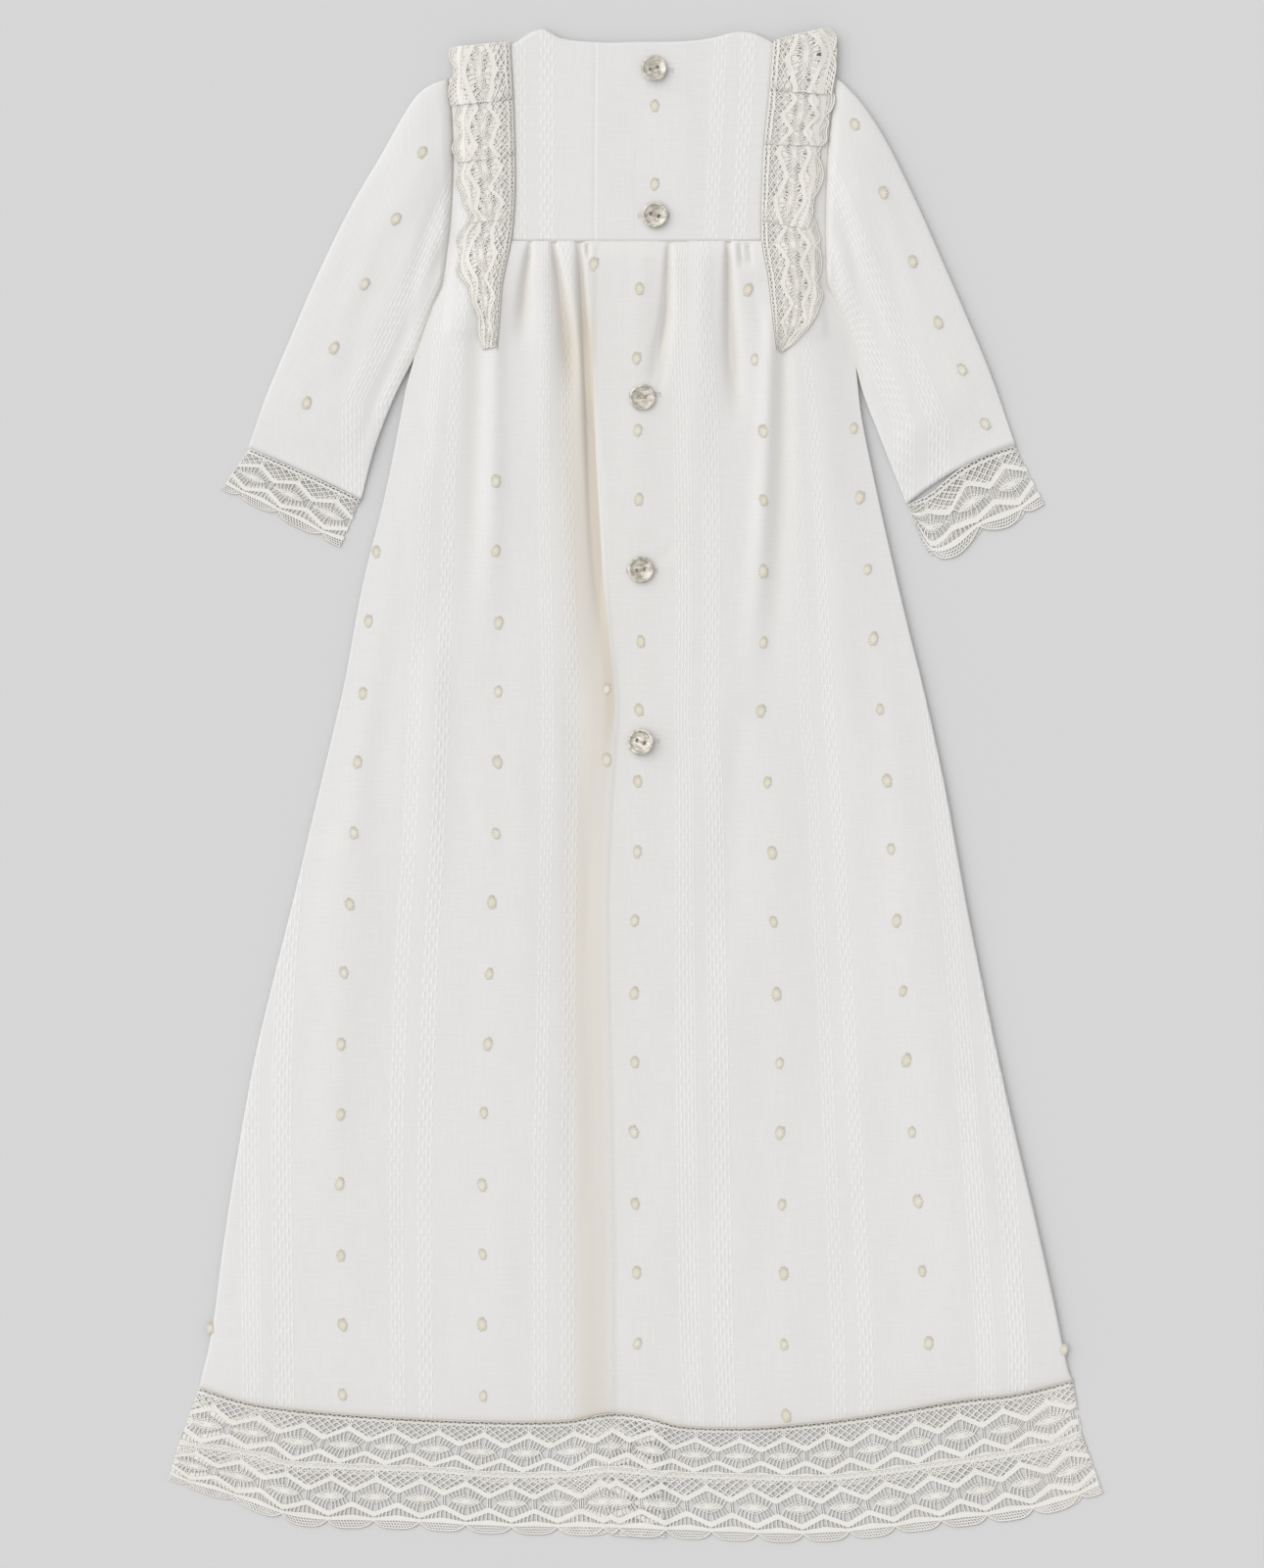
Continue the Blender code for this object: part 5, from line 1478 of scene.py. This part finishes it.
class GOWN_OT_ruffles(bpy.types.Operator):
    """Add the gathered lace ruffles beside the yoke, in tiers at the back and plain in front"""
    bl_idname = "gown.ruffles"
    bl_label = "Ruffles"

    def execute(self, context):
        for side, tiers, seam, outward in (("left", LEFT_TIERS, left_seam, -1),
                                           ("right", RIGHT_TIERS, right_seam, 1)):
            name = f"ruffle_{side}"
            parts = bmesh.new()
            for index, tier in enumerate(tiers):
                mesh = to_mesh("tier", ruffle_tier(tier, index, seam, outward, len(tiers)))
                parts.from_mesh(mesh)
                bpy.data.meshes.remove(mesh)
            mesh = to_mesh(name, parts)
            piece = add_piece(name, mesh, finish_of("ruffle_thread"), LACE, f"back_ruffle_{side}")
            name = f"front_ruffle_lace_{side}"
            mesh, points = lace_band(name, lace_unit(), 6)
            points[:, 0] -= 0.5

            def position(run, depth):
                y = blend(762.0, RUFFLE_POINT_Y, run / 6)
                taper = 0.6 + 0.4 * ease((1 - run / 6) / 0.22)
                width = FRONT_RUFFLE_WIDTH * taper
                return seam(y) + outward * (2 + width * depth / LACE_DEPTH), y
            lay_lace(mesh, points, position,
                     lambda run, depth, x, y: np.full(len(x), LACE_FRONT_LEVEL), 0.8)
            piece = add_piece(name, mesh, finish_of("ruffle_thread"), LACE, f"front_ruffle_{side}")
        return {"FINISHED"}


def tier_repeats(tiers):
    """Repeats of lace along a ruffle's tiers, one layer of each."""
    return sum(max(1, round(tier[-1][2] - tier[0][2])) for tier in tiers)


def ground_level(x, y):
    """Top of the skirt, the strap or the sleeve under a ruffle."""
    return blend(4.6, skirt_height(x, y) + 0.3, ease((from_side(x, y) + 3) / 6))


def ruffle_tier(tier, index, seam, outward, count):
    """One tier of a ruffle, from its top to its folded lower edge, with an inner fold beneath."""
    repeats = tier_repeats([tier])
    part_rows = [(row[2] - tier[0][2]) / (tier[-1][2] - tier[0][2]) for row in tier]
    seam_y = curve(zip(part_rows, [row[0] for row in tier]))
    edge_x = curve(zip(part_rows, [row[1][0] for row in tier]))
    edge_y = curve(zip(part_rows, [row[1][1] for row in tier]))
    crumple = 1.0 if outward < 0 else 0.55
    bm = bmesh.new()
    for shift, drop, reach in RUFFLE_LAYERS:
        shift = shift + 0.5 * (index % 2)
        mesh, points = lace_band("tier", lace_unit(), repeats, (shift, repeats + shift))
        points[:, 0] -= shift

        def position(run, depth):
            part, share = run / repeats, depth / LACE_DEPTH * reach
            y_seam = seam_y(part)
            x_seam = seam(y_seam) + outward * 0.6
            x = blend(x_seam, edge_x(part), share)
            y = blend(y_seam, edge_y(part), np.clip(share, 0, 1.1) ** 0.8)
            return x + crumple * 0.7 * np.sin(run * 9.0 + index) * np.sin(share * 5.0), y

        def height(run, depth, x, y):
            part, share = run / repeats, depth / LACE_DEPTH
            rise = TIER_RISE * part * (0.25 + 0.75 * share)
            if index == count - 1:
                rise = rise * (1 - 0.75 * part)
            pleat = 0.15 * np.sin(run * 7.0 + 2.0 * index) * (0.3 + share)
            crush = crumple * 0.12 * np.sin(run * 13.0 + depth / 3.0 + index) * np.sin(depth / 4.5)
            return ground_level(x, y) + 0.6 + rise + pleat + crush - drop
        lay_lace(mesh, points, position, height, 0.22)
        bm.from_mesh(mesh)
        bpy.data.meshes.remove(mesh)
    return bm


class GOWN_OT_spots(bpy.types.Operator):
    """Add the woven clip spots in their columns"""
    bl_idname = "gown.spots"
    bl_label = "Clip spots"

    def execute(self, context):
        sizes = context.scene.gown_sizes
        size = (sizes.spot_width / MM, sizes.spot_height / MM)
        units = [spot_unit(*size, kind) for kind in range(4)]
        groups = {"left": [], "right": [], "yoke": [], "sleeve_left": [], "sleeve_right": []}
        for side, columns, height in (("left", LEFT_SPOTS, left_height),
                                      ("right", RIGHT_SPOTS, right_height)):
            for rows, first, count in columns:
                line = curve(rows)
                for k in range(count):
                    y = first - SPOT_PITCH * k + 0.5 * math.sin(k * 2.3)
                    x = float(line(y)) + 0.35 * math.sin(k * 4.1)
                    if y < hem(x) + 4 or any(math.hypot(x - b[0], y - b[1]) < 9 for b in BUTTONS):
                        continue
                    groups[side].append((x, y, height, math.atan((line(y + 5) - line(y - 5)) / 10)))
        groups["left"] += [(-14.5, 435.5, left_height, 0.0), (-14.5, 399.5, left_height, 0.0),
                           (-217.0, 109.5, left_height, -0.1)]
        groups["yoke"] = [(x, y, yoke_right_height, 0.0) for x, y in YOKE_SPOTS]
        for side, spots in (("sleeve_left", LEFT_SLEEVE_SPOTS),
                            ("sleeve_right", RIGHT_SLEEVE_SPOTS)):
            surface = bpy.data.objects[f"sleeve_cloth_{side.split('_')[1]}"]
            lean = math.atan2(spots[-1][0] - spots[0][0], spots[0][1] - spots[-1][1])
            groups[side] = [(x, y, surface_height(surface), lean) for x, y in spots]
        for side, spots in groups.items():
            bm = bmesh.new()
            for index, (x, y, height, lean) in enumerate(spots):
                turned = units[(index * 3 + index // 4) % 4].copy()
                z = float(np.ravel(height(np.array([x]), np.array([y])))[0])
                centre = place(np.array([x]), np.array([y]), np.array([z + 0.3]))[0]
                lean += 0.25 * math.sin(index * 5.3)
                turned.transform(Matrix.Translation(centre) @ Matrix.Rotation(lean, 4, "Z")
                                 @ Matrix.Scale(MM * (1 + 0.1 * math.sin(index * 3.1)), 4))
                bm.from_mesh(turned)
                bpy.data.meshes.remove(turned)
            name = f"clip_spots_{side}"
            add_piece(name, to_mesh(name, bm), finish_of("spot_thread"), COTTON)
        for unit in units:
            bpy.data.meshes.remove(unit)
        return {"FINISHED"}


def surface_height(surface):
    """Function that gives the top of a piece at a pattern point."""
    def height(x, y):
        top = place(x, y, np.full(len(x), 60.0))[0]
        found, point = surface.ray_cast(Vector(top), Vector((0, 0, -1)))[:2]
        return np.array([point.z / MM if found else 0.0])
    return height


def spot_unit(width, height, kind):
    """A clip spot: soft floats pressed side by side, their cut ends uneven."""
    lines = []
    floats = 9
    for k in range(floats):
        y = height * ((k + 0.5) / floats - 0.5)
        reach = width / 2 * math.sqrt(max(0.2, 1 - (2 * y / height) ** 2 * 0.8)) - 0.3
        left = reach * (0.85 + 0.24 * math.sin(k * 2.9 + 1.9 * kind))
        right = reach * (0.85 + 0.24 * math.cos(k * 3.7 + 2.6 * kind))
        bow = 0.5 * math.sin(1.3 * kind + 0.5) + 0.25 * (k / floats - 0.3)
        lines.append([(-left, y - bow, -0.15), (-left * 0.6, y, 0.16), (0, y + 0.3 * bow, 0.0),
                      (right * 0.6, y, 0.16), (right, y - bow * 0.8, -0.15)])
    mesh = from_curve("spot", lines, 0.6, (), 2)
    points = coordinates(mesh)
    # painted shade: the spot darkens towards its edges, more at the top
    away = np.hypot(points[:, 0] / (width / 2), points[:, 1] / (height / 2))
    upper = 0.6 + 0.4 * points[:, 1] / height
    add_values(mesh, "painted_shade_and_tone", np.clip((away - 0.4) / 0.4, 0, 1) * upper)
    points[:, 2] = points[:, 2] * 0.45 - 0.25 * np.clip(0.7 - away, 0, 1)
    set_coordinates(mesh, points)
    return mesh


def as_line(x, y, z):
    return [tuple(point) for point in np.column_stack([x, y, z])]


class GOWN_OT_sewing(bpy.types.Operator):
    """Add the seam lines and the stitched buttonholes"""
    bl_idname = "gown.sewing"
    bl_label = "Sewing"

    def execute(self, context):
        lines = []
        for low, high, height in ((-62.5, -21.0, yoke_height), (-20.5, 64.0, yoke_right_height)):
            x = np.linspace(low, high, 40)
            y = np.full(40, YOKE_SEAM + 0.1)
            z = height(x, y + 0.4) + 0.1
            lines.append(as_line(x, y, z))
        for seam, height, outward in ((left_seam, yoke_height, 0.3),
                                      (right_seam, yoke_right_height, -0.3)):
            y = np.linspace(YOKE_SEAM, 765, 40)
            x = seam(y) + outward
            z = height(x, y) + 0.2
            lines.append(as_line(x, y, z))
        for seam, height in ((left_seam, left_height), (right_seam, right_height)):
            y = np.linspace(608, YOKE_SEAM, 24)
            x = seam(y)
            z = height(x, y) + 0.25
            lines.append(as_line(x, y, z))
        for low, high, height in ((HEM_ENDS[0], -23.0, left_height),
                                  (-21.5, HEM_ENDS[1], right_height)):
            x = np.linspace(low, high, 160)
            z = height(x, hem(x)) + 0.05
            lines.append(as_line(x, hem(x) - 0.15, z))
        mesh = from_curve("seam_lines", lines, 0.28)
        set_coordinates(mesh, place(*coordinates(mesh).T))
        add_piece("seam_lines", mesh, finish_of("sewing_thread"), COTTON)
        lines = []
        for number, (x, y) in enumerate(BUTTONHOLES):
            height = yoke_right_height if number < 2 else right_height
            lines += buttonhole(x, y, height)
        mesh = from_curve("buttonholes", lines, 0.17)
        set_coordinates(mesh, place(*coordinates(mesh).T))
        add_piece("buttonholes", mesh, finish_of("sewing_thread"), COTTON)
        return {"FINISHED"}


def buttonhole(x, y, height, length=16.0, width=2.4):
    """Close stitches on both sides of a slit, and a bar across each end."""
    lines = []
    stitches = 30
    for k in range(stitches + 1):
        at = x - length / 2 + length * k / stitches
        z = float(np.ravel(height(np.array([at]), np.array([y])))[0]) + 0.25
        for side in (-1, 1):
            reach = width / 2 * (1 + 0.08 * math.sin(k * 3.1 + side))
            lines.append([(at, y + side * 0.3, z), (at + 0.05, y + side * reach, z - 0.05)])
        if k in (0, stitches):
            lines.append([(at, y - width / 2, z + 0.1), (at, y + width / 2, z + 0.1)])
    return lines


class GOWN_OT_buttons(bpy.types.Operator):
    """Add the five two-hole buttons with the thread that holds them"""
    bl_idname = "gown.buttons"
    bl_label = "Buttons"

    def execute(self, context):
        radius = context.scene.gown_sizes.button_diameter / MM / 2
        for number, (x, y, tilt_x, tilt_y) in enumerate(BUTTONS, start=1):
            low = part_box(f"button_{number}")[0]
            tilt = (Matrix.Rotation(math.radians(tilt_x), 4, "X")
                    @ Matrix.Rotation(math.radians(tilt_y), 4, "Y"))
            drop = math.sin(math.radians(max(abs(tilt_x), abs(tilt_y)))) * radius
            middle = Vector(((x - FOOTPRINT_MIDDLE[0]) * MM, (y - FOOTPRINT_MIDDLE[1]) * MM,
                             low.z + drop * 0.7 * MM))
            seat = (Matrix.Translation(middle) @ tilt @ Matrix.Scale(MM, 4)
                    @ Matrix.Rotation(0.35 * math.sin(number * 2.2), 4, "Z"))
            mesh = button_mesh(radius)
            mesh.transform(seat)
            add_piece(f"pearl_button_{number}", mesh, finish_of("pearl_shell"), PEARL,
                      f"button_{number}")
            lines = []
            for k in range(3):
                off = (k - 1) * 0.3
                lines.append([(-1.8, off, 0.2), (-1.7, off, 1.2), (-1.2, off, 1.72),
                              (0, off * 0.8, 1.8), (1.2, off, 1.72), (1.7, off, 1.2),
                              (1.8, off, 0.2)])
            thread = from_curve("thread", lines, 0.15)
            thread.transform(seat)
            add_piece(f"thread_of_button_{number}", thread, finish_of("button_thread"), PEARL)
        return {"FINISHED"}


def button_mesh(radius):
    """Turned button: flat rim, dished middle, and two holes bored through."""
    well = radius - 1.5
    profile = [(0, 1.5), (well - 2.2, 1.45), (well - 0.8, 1.5), (well - 0.2, 1.75),
               (well + 0.15, 2.25), (well + 0.45, 2.4), (radius - 0.5, 2.35),
               (radius - 0.12, 2.1), (radius, 1.6), (radius - 0.25, 1.1), (radius - 2.0, 0.1),
               (0, 0)]
    bm = bmesh.new()
    chain = [bm.verts.new((r, 0, z)) for r, z in profile]
    edges = [bm.edges.new(pair) for pair in zip(chain, chain[1:])]
    bmesh.ops.spin(bm, geom=chain + edges, cent=(0, 0, 0), axis=(0, 0, 1), angle=math.tau, steps=48,
                   use_merge=True)
    bmesh.ops.remove_doubles(bm, verts=bm.verts, dist=0.001)
    bmesh.ops.recalc_face_normals(bm, faces=bm.faces)
    blank = bpy.data.objects.new("blank", to_mesh("blank", bm))
    bpy.context.scene.collection.objects.link(blank)
    cutters = []
    for side in (-1, 1):
        bm = bmesh.new()
        bmesh.ops.create_cone(bm, cap_ends=True, segments=20, radius1=0.95, radius2=0.95, depth=6)
        bmesh.ops.translate(bm, vec=(side * 1.9, 0, 1), verts=bm.verts)
        cutter = bpy.data.objects.new("bore", to_mesh("bore", bm))
        bpy.context.scene.collection.objects.link(cutter)
        cut = blank.modifiers.new("bore", "BOOLEAN")
        cut.operation = "DIFFERENCE"
        cut.object = cutter
        cutters.append(cutter)
    mesh = evaluated_mesh(blank)
    for thing in [blank] + cutters:
        bpy.data.objects.remove(thing)
    return mesh


OPERATORS = (GOWN_OT_front, GOWN_OT_back, GOWN_OT_yoke, GOWN_OT_sleeves, GOWN_OT_hem_lace,
             GOWN_OT_cuffs, GOWN_OT_ruffles, GOWN_OT_spots, GOWN_OT_sewing, GOWN_OT_buttons,
             GOWN_OT_stage)


class GOWN_PT_panel(bpy.types.Panel):
    """Sidebar panel that builds the gown piece by piece"""
    bl_idname = "GOWN_PT_panel"
    bl_label = "Christening gown"
    bl_space_type = "VIEW_3D"
    bl_region_type = "UI"
    bl_category = "Gown"

    def draw(self, context):
        for group in (context.scene.gown_sizes, context.scene.gown_finish):
            for name in group.__annotations__:
                self.layout.prop(group, name)
        for operator in OPERATORS:
            self.layout.operator(operator.bl_idname)


CLASSES = (GownSizes, GownFinish, *OPERATORS, GOWN_PT_panel)


def register():
    for item in CLASSES:
        bpy.utils.register_class(item)
    bpy.types.Scene.gown_sizes = bpy.props.PointerProperty(type=GownSizes)
    bpy.types.Scene.gown_finish = bpy.props.PointerProperty(type=GownFinish)


def unregister():
    del bpy.types.Scene.gown_sizes
    del bpy.types.Scene.gown_finish
    for item in reversed(CLASSES):
        bpy.utils.unregister_class(item)


def main():
    register()
    for operator in OPERATORS:
        getattr(bpy.ops.gown, operator.bl_idname.split(".")[1])()


if __name__ == "__main__":
    main()
